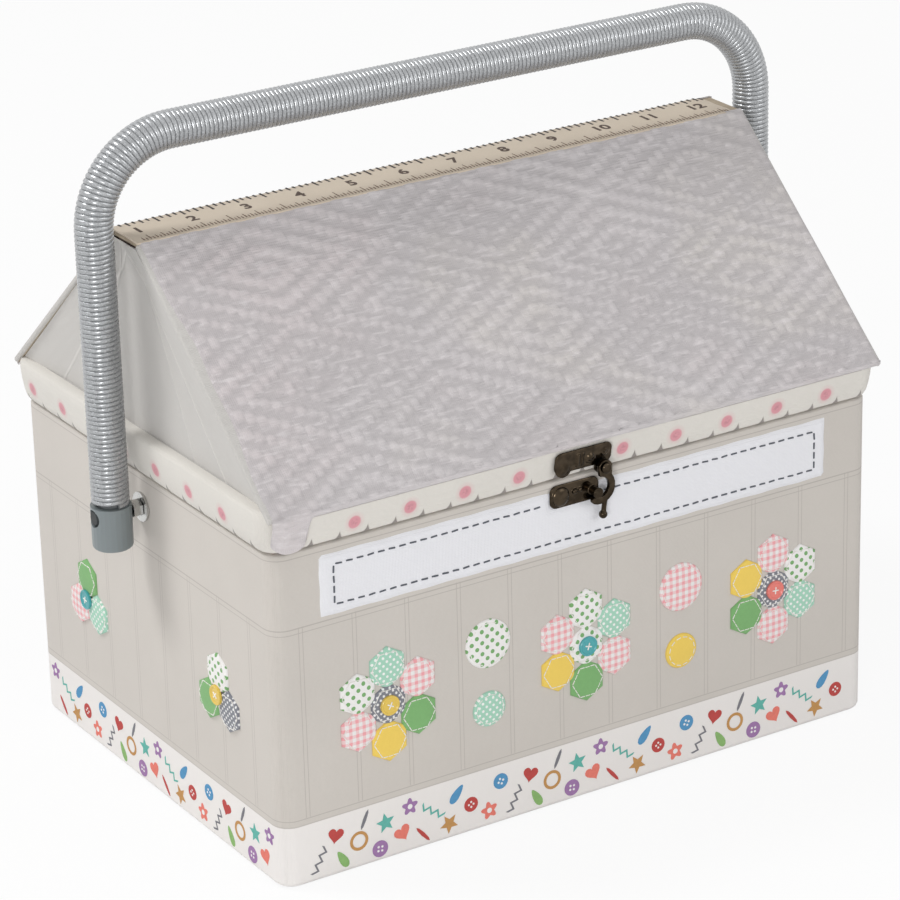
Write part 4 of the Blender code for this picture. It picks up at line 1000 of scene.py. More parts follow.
class SEWBOX_OT_roof(SewingBoxOperator):
    """Make the woven cloth of both slopes and the plain cloth that shows at its ends"""

    bl_idname = "sewbox.roof"
    bl_label = "Roof"

    FIRST_DIAMOND = (6 * MM, 24.3 * MM)
    RINGS = 3
    ROWS_TO_A_DIAMOND = 48
    ROLL_ROWS = 9
    EDGE_RADIUS = 1.3 * MM
    UNDER_EAVE = 2.2 * MM
    RIGHT_INSET = 0.5 * MM
    TONGUE_EASE = 4.5 * MM

    def relief(self, x, along):
        """Height of the woven floats: diamonds inside diamonds, broken into columns."""
        s = sizes()
        half_x = s.diamond_width / 2
        half_y = s.diamond_height / 2
        column = round(x / s.float_width) * s.float_width
        x0, y0 = self.FIRST_DIAMOND
        best = min(
            abs(column - x0 - k * half_x) / half_x + abs(along - y0 - m * half_y) / half_y
            for k in range(-4, 5)
            for m in range(-3, 8)
            if (k + m) % 2 == 0
        )
        ring = math.cos(2 * math.pi * self.RINGS * best)
        seam = abs(x - column) / (s.float_width / 2)
        puff = 1 - 0.5 * seam**3
        uneven = 0.9 + 0.1 * math.sin(column * 9100 + round(self.RINGS * best) * 5.3 + along * 70)
        return (0.5 + 0.5 * ring) * puff * uneven

    def left_inset(self, along):
        """How far the quilt's edge stays back from the roof's left end."""
        share = along / SLOPE
        bulge = max(0.0, math.sin(math.pi * min(1, max(0, (share - 0.12) / 0.8))))
        return (1.2 + 3.4 * bulge + 0.5 * math.sin(share * 21)) * MM

    def build(self):
        finish = quilt_cloth()
        plain_cloth = plain("roof_edge_cloth", shade(colours().gable, 0.98))
        for name, side in (("front", -1), ("rear", 1)):
            self.slope_cloth(name, side, finish)
            self.edge_cloth(name, side, plain_cloth)

    def slope_cloth(self, name, side, finish):
        s = sizes()
        columns = round(2 * ROOF_HALF / (s.float_width / 4))
        flat_rows = round(SLOPE / (s.diamond_height / self.ROWS_TO_A_DIAMOND))
        rows = flat_rows + self.ROLL_ROWS
        quilt = grid(columns, rows)
        radius = self.EDGE_RADIUS
        roll = math.pi * radius + ROOF_DEPTH - 2 * radius + self.UNDER_EAVE
        place = slope_matrix(side)
        relief = []
        for vert in quilt.data.vertices:
            row = round((vert.co.y + 1) / 2 * rows)
            share = max(0, (row - flat_rows) / self.ROLL_ROWS)
            extra = share * roll
            along = SLOPE * row / flat_rows if row < flat_rows else SLOPE - radius
            start = self.left_inset(along) if side < 0 else 1.5 * MM
            x = -ROOF_HALF + start + (vert.co.x + 1) / 2 * (2 * ROOF_HALF - start - self.RIGHT_INSET)
            end = min(x + ROOF_HALF - start, ROOF_HALF - self.RIGHT_INSET - x)
            down, out = self.rolled(along, extra)
            out -= 0.6 * MM + (0.5 * MM if end < 0.1 * MM else 0)
            if extra == 0:
                height = s.quilt_relief * self.relief(x, along) * min(1, max(0, min(end, along) / (1.5 * MM)))
                height += 0.25 * MM * (math.sin(x * 41 + side) * math.sin(along * 58) - 1)
                out += height
            relief.append(min(1, height / s.quilt_relief) if extra == 0 else 0.8)
            vert.co = place @ Vector((x, down, out))
            if side < 0 and extra > 0 and x < TONGUE_RIGHT:
                weight = min(1, (TONGUE_RIGHT - x) / self.TONGUE_EASE)
                vert.co = vert.co.lerp(self.tongue(x, share), weight * weight * (3 - 2 * weight))
        # The floats' height is kept on the points as relief. The quilt's material uses it to paint shade into the
        # hollows.
        kept = quilt.data.attributes.new("relief", "FLOAT", "POINT")
        kept.data.foreach_set("value", relief)
        thicken(quilt, 0.6 * MM, -1 if side > 0 else 1)
        piece(quilt, f"roof_{name}", finish, "lid", [f"roof_{name}_quilt"], smooth=80)

    def tongue(self, x, share):
        """Where the cloth hangs from the eave over the rim's corner, this share of the way down."""
        radius = CORNER_RADIUS + RIM_FLARE
        start = -(RIM_HIGH.x - radius)
        across = (x - (TONGUE_RIGHT + start - radius) / 2) / ((TONGUE_RIGHT - start + radius) / 2)
        low = LID_FOOT + 1.2 * MM + 8.5 * MM * min(1, abs(across)) ** 2.6
        top = EAVE_Z - 0.4 * MM
        away = radius + 0.5 * MM + 1.1 * MM * math.sin(math.pi * min(1, share * 1.1)) + 2.0 * MM * (1 - share) ** 2
        away += 0.4 * MM * math.sin(x * 620 + share * 5) * share * (1 - share) * 4
        angle = max(0.0, (start - x) / away)
        y = -(RIM_HIGH.y - radius) - away * math.cos(angle)
        return Vector((max(x, start) - away * math.sin(angle), y, top + (low - top) * share))

    def rolled(self, along, extra):
        """Distance down the slope and height above it, round the eave's edge and under it."""
        radius = self.EDGE_RADIUS
        corner = radius * QUARTER
        if extra <= 0:
            return along, 0.0
        if extra < corner:
            angle = extra / radius
            return along + radius * math.sin(angle), -radius * (1 - math.cos(angle))
        extra -= corner
        straight = ROOF_DEPTH - 2 * radius
        if extra < straight:
            return along + radius, -radius - extra
        extra -= straight
        if extra < corner:
            angle = extra / radius
            return along + radius * math.cos(angle), -radius - straight - radius * math.sin(angle)
        return along - (extra - corner), -ROOF_DEPTH

    def edge_cloth(self, name, side, finish):
        """Plain cloth that is turned round the roof board and shows beside the quilt."""
        board = add_rounded_plane(ROOF_HALF - 0.1 * MM, SLOPE / 2 - 1 * MM, 0)
        settle(board, shift(0, SLOPE / 2 - 0.3 * MM, -1.25 * MM))
        with editing(board):
            raise_selected(ROOF_DEPTH * -0.62)
            bpy.ops.mesh.select_all(action="SELECT")
            bpy.ops.mesh.normals_make_consistent(inside=False)
        modifier(board, "BEVEL", width=0.8 * MM, segments=3)
        settle(board, slope_matrix(side))
        apply_modifiers(board)
        recalculate(board)
        piece(board, f"roof_{name}_edges", finish, "lid")


class SEWBOX_OT_ribbon(SewingBoxOperator):
    """Make the tape along the ridge with its ticks and numbers"""

    bl_idname = "sewbox.ribbon"
    bl_label = "Ribbon"

    # The tape's numbers, where the first one stands, and the parts of an inch
    NUMBERS = 12
    FIRST = -144.5 * MM
    PARTS = 16
    # How long the ticks are in mm: at the inch, the half and the quarters, and between these
    TICKS = {0: 6.5, 8: 5.2, 4: 4.4, 12: 4.4}
    EIGHTH = 3.4
    SIXTEENTH = 2.4

    def height(self, x, y):
        """The tape's upper side: nearly flat, dipping at its right end and over its edges."""
        level = RIDGE_Z - 0.1 * MM
        level -= 0.5 * MM * (abs(y) / RIDGE_HALF) ** 6
        level += 0.12 * MM * math.sin(x * 70) * math.sin(y * 300 + 1)
        end = x - (ROOF_HALF - 13 * MM)
        if end > 0:
            level -= 3.2 * MM * (end / (13 * MM)) ** 2
        return level

    def place(self, across, up):
        """Where a point of the flat tape lies: its right end narrows."""
        x = across * (ROOF_HALF - 0.2 * MM)
        end = max(0, x - (ROOF_HALF - 12 * MM)) / (12 * MM)
        y = up * (RIDGE_HALF + 0.4 * MM) * math.sqrt(max(0.0, 1 - 0.82 * end**3))
        return (x, y, self.height(x, y))

    def build(self):
        ribbon = grid(120, 14)
        reshape(ribbon, self.place)
        thicken(ribbon, 0.7 * MM)
        finish = cloth("ribbon", colours().ribbon, thread=0.5 * MM, variation=0.07)
        finish.bump(finish.noise(1500, 2, (0.2, 1, 1)), 0.1 * MM, 0.5)
        piece(ribbon, "ridge_tape", finish.material, "lid", ["ridge_ribbon"])
        self.ticks("tape_ticks_rear", 1, 2, 0.95 * MM, linear(58, 52, 50))
        self.ticks("tape_ticks_front", -1, 1, 0.38 * MM, linear(108, 86, 72))
        self.numbers()

    def ticks(self, name, edge, every, wide, colour):
        """The ticks along one edge, every sixteenth of an inch or every second one."""
        inch = sizes().tape_inch
        places = []
        for number in range(0, round(2 * ROOF_HALF / inch * self.PARTS), every):
            x = self.FIRST - inch / 2 + number * inch / self.PARTS
            if abs(x) > ROOF_HALF - 4 * MM:
                continue
            usual = self.EIGHTH if number % 2 == 0 else self.SIXTEENTH
            long = self.TICKS.get(number % self.PARTS, usual) * MM
            y = edge * (RIDGE_HALF - 0.35 * MM - long / 2)
            scale = Matrix.Diagonal((wide, long, 0.12 * MM, 1))
            places.append(shift(x, y, self.height(x, y) + 0.05 * MM) @ scale)
        ticks = scatter(name, add("cube", size=1), places)
        piece(ticks, name, print_ink(name, colour), "lid")

    def numbers(self):
        made = []
        for number in range(self.NUMBERS):
            x = self.FIRST + number * sizes().tape_inch
            deselect()
            bpy.ops.object.text_add()
            text = bpy.context.object
            text.data.body = str(number + 1)
            text.data.size = 8.6 * MM
            text.data.align_x = "CENTER"
            text.data.align_y = "CENTER"
            text.data.extrude = 0.06 * MM
            text.data.offset = 0.22 * MM
            take(text)
            bpy.ops.object.convert(target="MESH")
            made.append(settle(bpy.context.object, shift(x, 0, self.height(x, 0) + 0.08 * MM)))
        numbers = join("tape_numbers", made)
        piece(numbers, "tape_numbers", print_ink("tape_numbers", linear(84, 70, 62)), "lid")


class SEWBOX_OT_handle(SewingBoxOperator):
    """Wind the cord round the handle"""

    bl_idname = "sewbox.handle"
    bl_label = "Handle"

    STRAND = 0.8 * MM
    LEG_STEPS = 12
    BEND_STEPS = 24
    BAR_STEPS = 16

    def middle_line(self):
        """Points along the handle's middle in (x, z), from the left foot to the right one."""
        foot = WINDING_LOW.z
        x, z = LEG_X - BEND_RADIUS, BAR_Z - BEND_RADIUS
        left = [(-LEG_X, foot + (z - foot) * share / self.LEG_STEPS) for share in range(self.LEG_STEPS)]
        for number in range(self.BEND_STEPS + 1):
            angle = math.pi - QUARTER * number / self.BEND_STEPS
            left.append((-x + BEND_RADIUS * math.cos(angle), z + BEND_RADIUS * math.sin(angle)))
        bar = [(-x + 2 * x * share / self.BAR_STEPS, BAR_Z) for share in range(1, self.BAR_STEPS)]
        return left + bar + [(-x, z) for x, z in reversed(left)]

    def guide(self, points):
        data = bpy.data.curves.new("handle_line", "CURVE")
        data.dimensions = "3D"
        data.twist_mode = "Z_UP"
        line = data.splines.new("POLY")
        line.points.add(len(points) - 1)
        for point, (x, z) in zip(line.points, points):
            point.co = (x, z, 0, 1)
        guide = bpy.data.objects.new("handle_line", data)
        bpy.context.collection.objects.link(guide)
        return guide

    def build(self):
        strand = self.STRAND
        pitch = sizes().wrap_pitch
        total = 2 * (BAR_Z - BEND_RADIUS - WINDING_LOW.z + BEND_RADIUS * QUARTER + LEG_X - BEND_RADIUS)
        points = self.middle_line()
        scale = sum(math.dist(a, b) for a, b in zip(points, points[1:])) / total
        cord = add("circle", vertices=7, radius=1, fill_type="NOTHING")
        cord.scale = (strand, pitch * 0.55, 1)
        settle(cord)
        upright = Matrix(((0, 1, 0, 0), (0, 0, 1, 0), (1, 0, 0, 0), (0, 0, 0, 1)))
        settle(cord, shift(0, 0, WRAP_RADIUS - strand) @ upright)
        screw = modifier(cord, "SCREW", axis="X", angle=2 * math.pi, screw_offset=pitch * scale)
        screw.iterations = round((total - 2 * strand) / pitch)
        screw.steps = 20
        screw.render_steps = 20
        apply_modifiers(cord)
        with editing(cord, "EDGE", "DESELECT"):
            bpy.ops.mesh.select_non_manifold(extend=False)
            bpy.ops.mesh.fill_holes(sides=0)
        recalculate(cord)
        settle(cord, shift(strand))
        guide = self.guide(points)
        modifier(cord, "CURVE", object=guide, deform_axis="POS_X")
        apply_modifiers(cord)
        bpy.data.objects.remove(guide)
        settle(cord, TURN_TO_FRONT)
        recalculate(cord)
        piece(cord, "wound_handle", wound_cord(), "handle", ["handle_winding"], smooth=80)


class SEWBOX_OT_patchwork(SewingBoxOperator):
    """Make the padded patches, their stitches and the sewn buttons on the walls"""

    bl_idname = "sewbox.patchwork"
    bl_label = "Patchwork"

    side: length("Patch side", 9.6)
    level: length("Level", 72)

    # Each patch's steps inwards and up, in mm
    PAD = ((0, 0.5), (0.35, 0.35), (0.8, 0.3), (2, 0.3), (2, 0.1))
    ROUND = 32
    # Each flower's place along the front in mm, and the cloth of its middle
    FLOWERS = ((-98, "grey"), (0, "bloom"), (98, "grey"))
    PETALS = ("check", "mint", "bloom", "check", "yellow", "green")
    # Each disc's place along the front, height above the flowers' middle, radius, in mm, and cloth
    DISCS = ((-49, 14, 11, "bloom"), (-49, -16, 8, "mint"), (49, 14, 11, "check"), (49, -16, 8, "yellow"))
    SIDE_CLUSTERS = ((-56, ("green", "check", "mint")), (60, ("bloom", "green", "grey")))
    REAR_CLUSTERS = ((-75, ("mint", "check", "bloom")), (75, ("check", "green", "bloom")))
    # Each button's wall, place along it in mm and turn
    BUTTONS = (
        ("teal_buttons", (70, 160, 165), (("left", -56, 0.6), ("right", 60, 0.2), ("front", 0, 0.5))),
        ("yellow_buttons", (222, 190, 84), (("left", 60, 0.1), ("right", -56, 0.9), ("front", -98, 0.3))),
        ("coral_buttons", (226, 122, 112), (("front", 98, 0.7), ("rear", -75, 0.3), ("rear", 75, 0.8))),
    )

    def build(self):
        self.groups = {}
        self.stitches = []
        for number, (along, middle) in enumerate(self.FLOWERS):
            self.rosette(along * MM, middle, self.PETALS[number:] + self.PETALS[:number])
        for along, rise, radius, name in self.DISCS:
            self.pad("front", along * MM, self.level + rise * MM, radius * MM, name, self.ROUND)
        for wall_name, clusters in (
            ("left", self.SIDE_CLUSTERS),
            ("right", self.SIDE_CLUSTERS),
            ("rear", self.REAR_CLUSTERS),
        ):
            for along, names in clusters:
                self.ring_of(wall_name, along * MM, self.side, names, 90)
        for key, made in self.groups.items():
            name = f"patches_{key}"
            piece(join(name, made), name, self.finish(key), "body", smooth=70)
        stitches = scatter("patch_stitches", add_stitch(2.3 * MM, 0.24 * MM), self.stitches)
        thread = plain("pale_thread", linear(236, 233, 228))
        piece(stitches, "patch_stitches", thread, "body")
        self.buttons()

    def finish(self, key):
        """The cloth of a group of patches, drawn along the wall that they are on."""
        c = colours()
        kind, _, aside = key.partition("_")
        name = f"patch_{key}"
        axes = ("Y" if aside else "X", "Z")
        if kind == "check":
            return gingham(name, c.pink, *axes, pitch=3.2 * MM)
        if kind == "bloom":
            pale = linear(238, 236, 234)
            return dotted(name, pale, shade(c.green, 0.9), *axes, pitch=5.0 * MM, radius=0.9 * MM)
        if kind == "mint":
            return dotted(name, c.mint, linear(240, 240, 236), *axes, pitch=3.4 * MM, radius=0.55 * MM)
        if kind == "grey":
            return dotted(name, c.grey, linear(232, 232, 232), *axes, pitch=3.0 * MM, radius=0.5 * MM)
        if kind == "green":
            return plain(name, c.green, variation=0.12)
        return plain(name, c.yellow)

    def pad(self, wall_name, along, height, radius, name, corners):
        """One padded patch with this many corners, and running stitches inside its edge."""
        patch = add("circle", vertices=corners, radius=radius, fill_type="NGON")
        step_face(patch, [(inward * MM, up * MM) for inward, up in self.PAD])
        settle(patch)
        place = wall_matrix(wall_name, along, height)
        patch.data.transform(place @ shift(z=-0.1 * MM))
        key = name if wall_name in ("front", "rear") else f"{name}_side"
        self.groups.setdefault(key, []).append(patch)
        inner = radius * math.cos(math.pi / corners) - 1.5 * MM
        is_round = corners == self.ROUND
        sides = round(2 * math.pi * inner / (3.4 * MM)) if is_round else corners
        per_side = 1 if is_round else 3
        reach = inner * math.tan(math.pi / sides)
        for number in range(sides):
            turn = turned(2 * math.pi * (number + 0.5) / sides)
            for step in range(per_side):
                aside = reach * 2 * ((step + 0.5) / per_side - 0.5)
                self.stitches.append(place @ turn @ shift(inner, aside, 1.08 * MM) @ turned(QUARTER))

    def ring_of(self, wall_name, along, reach, names, first):
        """Six-sided patches in a ring of this radius, the first one at this angle."""
        for number, name in enumerate(names):
            angle = math.radians(360 / len(names) * number + first)
            place = (along + reach * math.cos(angle), self.level + reach * math.sin(angle))
            self.pad(wall_name, *place, self.side - 0.15 * MM, name, 6)

    def rosette(self, along, middle, ring):
        self.pad("front", along, self.level, self.side - 0.15 * MM, middle, 6)
        self.ring_of("front", along, self.side * math.sqrt(3), ring, 30)

    def buttons(self):
        ties = []
        steps = [(0, 1.0 * MM), (0.25 * MM, 0.25 * MM), (0.45 * MM, HARDLY), (0.4 * MM, -0.4 * MM)]
        for name, colour, spots in self.BUTTONS:
            button = add("circle", vertices=self.ROUND, radius=4.4 * MM, fill_type="NGON")
            step_face(button, steps)
            places = [wall_matrix(side, along * MM, self.level, turn, 1.35 * MM) for side, along, turn in spots]
            ties += [
                place @ shift(z=0.95 * MM) @ turned(math.pi * turn) for place in places for turn in (0.25, 0.75)
            ]
            buttons = scatter(name, button, places)
            piece(buttons, name, moulded(name, linear(*colour), 0.25), "body", smooth=30)
        threads = scatter("button_threads", add_stitch(3.4 * MM, 0.32 * MM), ties)
        white = plain("white_thread", linear(240, 238, 232))
        piece(threads, "button_threads", white, "body")


# The printed band: along the wall in one tile, height, kind, ink, size, turn, all in mm and degrees
TILE = 96
BAND = (
    (4, 8.5, "flower", "coral", 4.2, 10),
    (10, 20.5, "button", "blue", 3.6, 20),
    (17, 10, "zigzag", "grey", 6.5, 62),
    (25, 19.5, "heart", "red", 4.0, -15),
    (28, 7.5, "leaf", "green", 4.6, 30),
    (36, 13.5, "ring", "ochre", 4.4, 0),
    (39, 22.5, "dash", "grey", 4.6, -24),
    (46, 6.8, "button", "purple", 3.8, 40),
    (49, 18, "star", "teal", 4.6, 8),
    (57, 11, "heart", "coral", 4.2, 24),
    (61, 22, "flower", "purple", 4.0, 0),
    (67, 7.2, "dash", "red", 5.0, 40),
    (72, 16.5, "zigzag", "teal", 6.5, -35),
    (80, 8.2, "star", "ochre", 4.6, 30),
    (84, 20.8, "leaf", "blue", 4.8, -40),
    (91, 14, "button", "red", 3.4, 0),
)
INKS = {
    "coral": (226, 122, 108),
    "blue": (82, 146, 190),
    "grey": (118, 118, 124),
    "red": (184, 70, 66),
    "green": (136, 178, 108),
    "ochre": (190, 142, 84),
    "purple": (156, 118, 166),
    "teal": (96, 176, 164),
    "white": (236, 234, 232),
}
# Where each wall starts on the way round, and half of its flat length, in mm
BAND_WALLS = (("front", 0, 141), ("right", 300, 99), ("rear", 516, 141), ("left", 816, 99))
BAND_CORNER = 9


class SEWBOX_OT_band(SewingBoxOperator):
    """Make the small printed figures of the lower band"""

    bl_idname = "sewbox.band"
    bl_label = "Printed band"

    SUNK = 0.05 * MM
    RISE = 0.14 * MM
    WHITE_RISE = 0.2 * MM
    POINTS = {"flower": 30, "heart": 24, "star": 10, "leaf": 14, "dash": 8, "zigzag": 14, "dot": 8, "ring": 20}

    def build(self):
        self.prints = {}
        for wall_name, start, half in BAND_WALLS:
            first = math.floor(start / TILE)
            for tile in range(first, first + 5):
                for x, height, kind, ink, size, turn in BAND:
                    along = tile * TILE + x - (start + half + BAND_CORNER)
                    if abs(along) < half - 1:
                        place = wall_matrix(wall_name, along * MM, height * MM, math.radians(turn))
                        self.put(kind, ink, size * MM, place)
        for ink, made in self.prints.items():
            name = f"print_{ink}"
            piece(join(name, made), name, print_ink(name, linear(*INKS[ink])), "body")

    def put(self, kind, ink, size, place):
        """One figure, with its white middle or its white holes."""
        self.emboss(kind, size, ink, place, self.RISE)
        if kind == "flower":
            self.emboss("dot", size * 0.3, "white", place, self.WHITE_RISE)
        elif kind == "button":
            for number in range(4):
                hole = place @ turned(QUARTER * number) @ shift(size * 0.34)
                self.emboss("dot", size * 0.15, "white", hole, self.WHITE_RISE)

    def emboss(self, kind, size, ink, place, rise):
        figure = self.figure("ring" if kind == "button" else kind, size, kind == "ring")
        step_face(figure, [(0, rise + self.SUNK)])
        figure.data.transform(place @ shift(z=-self.SUNK))
        self.prints.setdefault(ink, []).append(figure)

    def figure(self, kind, size, hollow):
        """A flat outline of this half width, made from a filled circle whose points move."""
        points = self.POINTS[kind]
        figure = add("circle", vertices=points, radius=size, fill_type="NGON")
        if hollow:
            with editing(figure):
                bpy.ops.mesh.inset(thickness=size * 0.3)
                bpy.ops.mesh.delete(type="FACE")
            return figure
        for number, vert in enumerate(figure.data.vertices):
            angle = 2 * math.pi * number / points
            if kind == "flower":
                vert.co *= 0.78 + 0.22 * math.cos(5 * angle)
            elif kind == "heart":
                across = 16 * math.sin(angle) ** 3
                up = 13 * math.cos(angle) - 5 * math.cos(2 * angle) - 2 * math.cos(3 * angle) - math.cos(4 * angle)
                vert.co = (across * size / 17, up * size / 17, 0)
            elif kind == "star":
                vert.co *= 1.0 if number % 2 == 0 else 0.45
            elif kind == "leaf":
                vert.co.x *= 0.4 * (1 - 0.35 * vert.co.y / size)
            elif kind == "dash":
                vert.co.x *= 0.18
            elif kind == "zigzag":
                half = points // 2
                step = number if number < half else points - 1 - number
                wave = 0.2 if step % 2 == 0 else -0.2
                edge = 0.09 if number < half else -0.09
                vert.co = ((2 * step / (half - 1) - 1) * size, (wave + edge) * size, 0)
        return figure


class SEWBOX_OT_lining(SewingBoxOperator):
    """Make the lining of the walls, the floor and the slopes"""

    bl_idname = "sewbox.lining"
    bl_label = "Lining"

    INSET = 0.85 * MM
    SLOPE_HALF = 141.1 * MM
    SLOPE_START = 4.3 * MM
    SLOPE_END = 119.2 * MM

    def build(self):
        self.finish = self.dots("lining", "Z")
        self.walls()
        self.floor()
        for name, side in (("front", -1), ("rear", 1)):
            self.slope(name, side)

    def dots(self, name, second):
        ground = colours().lining
        return dotted(name, ground, shade(ground, 0.82), "X", second, pitch=9 * MM, radius=0.8 * MM)

    def walls(self):
        foot = LINING_LOW.z + 0.1 * MM
        rise = LINING_HIGH.z - foot - 0.1 * MM
        steps = [(0, rise * share) for share in (0.25, 0.25, 0.25, 0.24, 0.01)]
        half_x, half_y = LINING_HIGH.x - self.INSET, LINING_HIGH.y - self.INSET
        walls = cloth_ring(half_x, half_y, 2 * MM, foot, [steps], 0.7 * MM, inward=True)
        piece(walls, "lining_walls", self.finish, "body", ["body_lining"])

    def floor(self):
        half_x = FLOOR_HIGH.x - 0.2 * MM
        half_y = FLOOR_HIGH.y - 0.2 * MM

        def place(across, up):
            x, y = across * half_x, up * half_y
            return (x, y, FLOOR_HIGH.z + 0.14 * MM * (math.sin(x * 47) * math.sin(y * 55 + 1) - 1))

        floor = grid(40, 28)
        reshape(floor, place)
        thicken(floor, 0.6 * MM)
        piece(floor, "lining_floor", self.dots("lining_flat", "Y"), "body", ["floor_lining"])

    def slope(self, name, side):
        start, end = self.SLOPE_START, self.SLOPE_END

        def place(across, up):
            x, along = across * self.SLOPE_HALF, start + (up + 1) / 2 * (end - start)
            wave = 0.12 * MM * math.sin(x * 53 + side) * math.sin(along * 61)
            return (x, along, -ROOF_DEPTH - 1.15 * MM + wave)

        panel = grid(60, 30)
        reshape(panel, place)
        thicken(panel, 0.6 * MM, 1, slope_matrix(side))
        piece(panel, f"lining_{name}_slope", self.finish, "lid", [f"lid_{name}_lining"])


class SEWBOX_OT_lid_fittings(SewingBoxOperator):
    """Make the pincushion and the gathered pocket inside the lid"""

    bl_idname = "sewbox.lid_fittings"
    bl_label = "Lid fittings"

    PAD_TOP = 16.5 * MM
    HALF_POCKET = (104 * MM, 34.5 * MM)

    def build(self):
        inside = shift(0, SLOPE / 2, -ROOF_DEPTH - 1.6 * MM) @ Matrix.Diagonal((1, 1, -1, 1))
        self.pincushion(slope_matrix(-1) @ inside)
        self.pocket(slope_matrix(1) @ inside @ shift(z=0.3 * MM))

    def pincushion(self, place):
        pad = add("cube", size=1)
        pad.scale = (100 * MM, 47 * MM, 9 * MM)
        pad.location.z = 4.7 * MM
        settle(pad)
        swell(pad, voxel=4 * MM, pressure=4, cap=5 * MM)
        for vert in pad.data.vertices:
            vert.co.z = min(self.PAD_TOP, max(0.1 * MM, vert.co.z))
        settle(pad, place)
        recalculate(pad)
        check = gingham("pincushion_check", colours().pink, "X", "Z", pitch=4.2 * MM)
        piece(pad, "pincushion_pad", check, "lid", ["pincushion"], smooth=180)

    def gathered(self, across, up):
        """Where a point of the flat pocket lies: gathered at its mouth, with a hem, and flat at its edge."""
        half_x, half_y = self.HALF_POCKET
        crown = (1 - across**6) * (1 - ((1 - up) / 2) ** 8 if up < 0 else 1)
        hem = 0.5 if up < -0.82 else 1
        slow = 0.5 * math.sin(across * 9) + 0.3 * math.sin(across * 23 + 1)
        gather = 0.6 * MM * math.sin(across * 101 + slow) * (0.25 + 0.75 * (1 - up) / 2)
        end = min(1, (1 - up) * 5) * min(1, (1 - abs(across)) * 14)
        height = (2.6 * MM * crown + gather * hem) * end
        return (across * half_x, up * half_y, height + 0.2 * MM * (1 + min(1, (up + 1) * 4)))

    def pocket(self, place):
        pocket = grid(180, 40)
        reshape(pocket, self.gathered)
        thicken(pocket, 0.5 * MM, 0, place)
        finish = plain("pocket_cloth", colours().mint)
        piece(pocket, "pocket", finish, "lid", ["lid_pocket"], smooth=80)


class SEWBOX_OT_latch(SewingBoxOperator):
    """Make the cast latch: its two plates, hook and rivet"""

    bl_idname = "sewbox.latch"
    bl_label = "Latch"

    # Studs on the leaning plate: x, z and radius in mm, and how flat the dome is
    STUDS = ((-11.6, 156.0, 3.2, 0.3), (1.4, 158.6, 1.9, 0.7), (8.6, 160.0, 1.3, 0.6))

    def build(self):
        bronze = metal("latch_bronze", colours().bronze, roughness=0.19, patina=0.35)
        lean = math.atan2(RIM_FLARE, RIM_LEVEL - LID_FOOT)

        def leaning(z):
            return PLATE_LOW.y + (PLATE_HIGH.z - z * MM) * math.tan(lean)

        plate = []
        for x, z, radius, flat in self.STUDS:
            face = leaning(z) + 0.15 * MM
            plate += [self.dome(x, z, face, radius, flat), self.ring(x, z, face, radius + 0.5, 0.42)]
        for x, low, radius in ((-4.8, 155.6, 0.95), (-2.5, 155.8, 0.6)):
            plate.append(self.knuckle(x, low, 161.4, leaning(158.4), radius, lean))
        self.cast("latch_upper", "latch_plate", plate, "lid", bronze)
        face = KEEPER_HIGH.y - 1.4 * MM
        keeper = [self.dome(-12.6, 143.4, face, 4.2, 0.36), self.ring(-12.6, 143.4, face, 2.2, 0.5)]
        keeper += [self.dome(-5.6, 144.2, face, 1.3, 0.8), self.dome(-3.0, 144.4, face, 1.0, 0.8)]
        self.cast("latch_lower", "latch_keeper", keeper, "body", bronze)
        self.cast("latch_arm", "latch_hook", [], "hook", bronze)
        self.cast("latch_pin", "latch_rivet", [], "lid", bronze)

    def dome(self, x, z, face, radius, flat):
        made = add("uv_sphere", segments=24, ring_count=12, radius=radius * MM)
        made.scale = (1, flat, 1)
        made.location = (x * MM, face, z * MM)
        return settle(made)

    def ring(self, x, z, face, radius, thick):
        made = add("torus", major_radius=radius * MM, minor_radius=thick * MM, major_segments=32, minor_segments=10)
        return settle(made, shift(x * MM, face, z * MM) @ TURN_TO_FRONT)

    def knuckle(self, x, low, high, face, radius, lean):
        made = add("cylinder", vertices=20, radius=radius * MM, depth=(high - low) * MM)
        made.location = (x * MM, face, (low + high) / 2 * MM)
        made.rotation_euler = (lean, 0, 0)
        return settle(made)

    def cast(self, name, node, extras, body, finish):
        """A copy of the CAD part with its details, fused and softened as cast metal is."""
        part = copy_of(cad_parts[node], Matrix.Identity(4))
        part.parent = None
        for key in list(part.keys()):
            del part[key]
        made = join(name, [part, *extras])
        recalculate(made)
        modifier(made, "REMESH", mode="VOXEL", voxel_size=0.22 * MM)
        modifier(made, "SMOOTH", factor=0.5, iterations=5)
        apply_modifiers(made)
        piece(made, name, finish, body, [node], smooth=180)


class SEWBOX_OT_screws(SewingBoxOperator):
    """Make the small screws of the hinges"""

    bl_idname = "sewbox.screws"
    bl_label = "Hinge screws"

    # Each leaf's body and node, how far up it the screws are, and how far out their heads
    LEAVES = (("body", "hinge_body_leaf", 0.3, 1.3 * MM), ("lid", "hinge_lid_leaf", 0.7, 2.4 * MM))

    def build(self):
        steel = metal("screw_bronze", shade(colours().bronze, 1.3), roughness=0.3, patina=0.2)
        for body, node, height, out in self.LEAVES:
            made = []
            for side in ("left", "right"):
                low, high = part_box(f"{node}_{side}")
                for share in (0.16, 0.5, 0.84):
                    screw = add("uv_sphere", segments=16, ring_count=8, radius=1.5 * MM)
                    screw.scale = (1, 0.4, 1)
                    reach = low.z + (high.z - low.z) * height
                    screw.location = (low.x + (high.x - low.x) * share, HALF_DEPTH + out, reach)
                    made.append(settle(screw))
            name = f"{node}_screws"
            piece(join(name, made), name, steel, body)


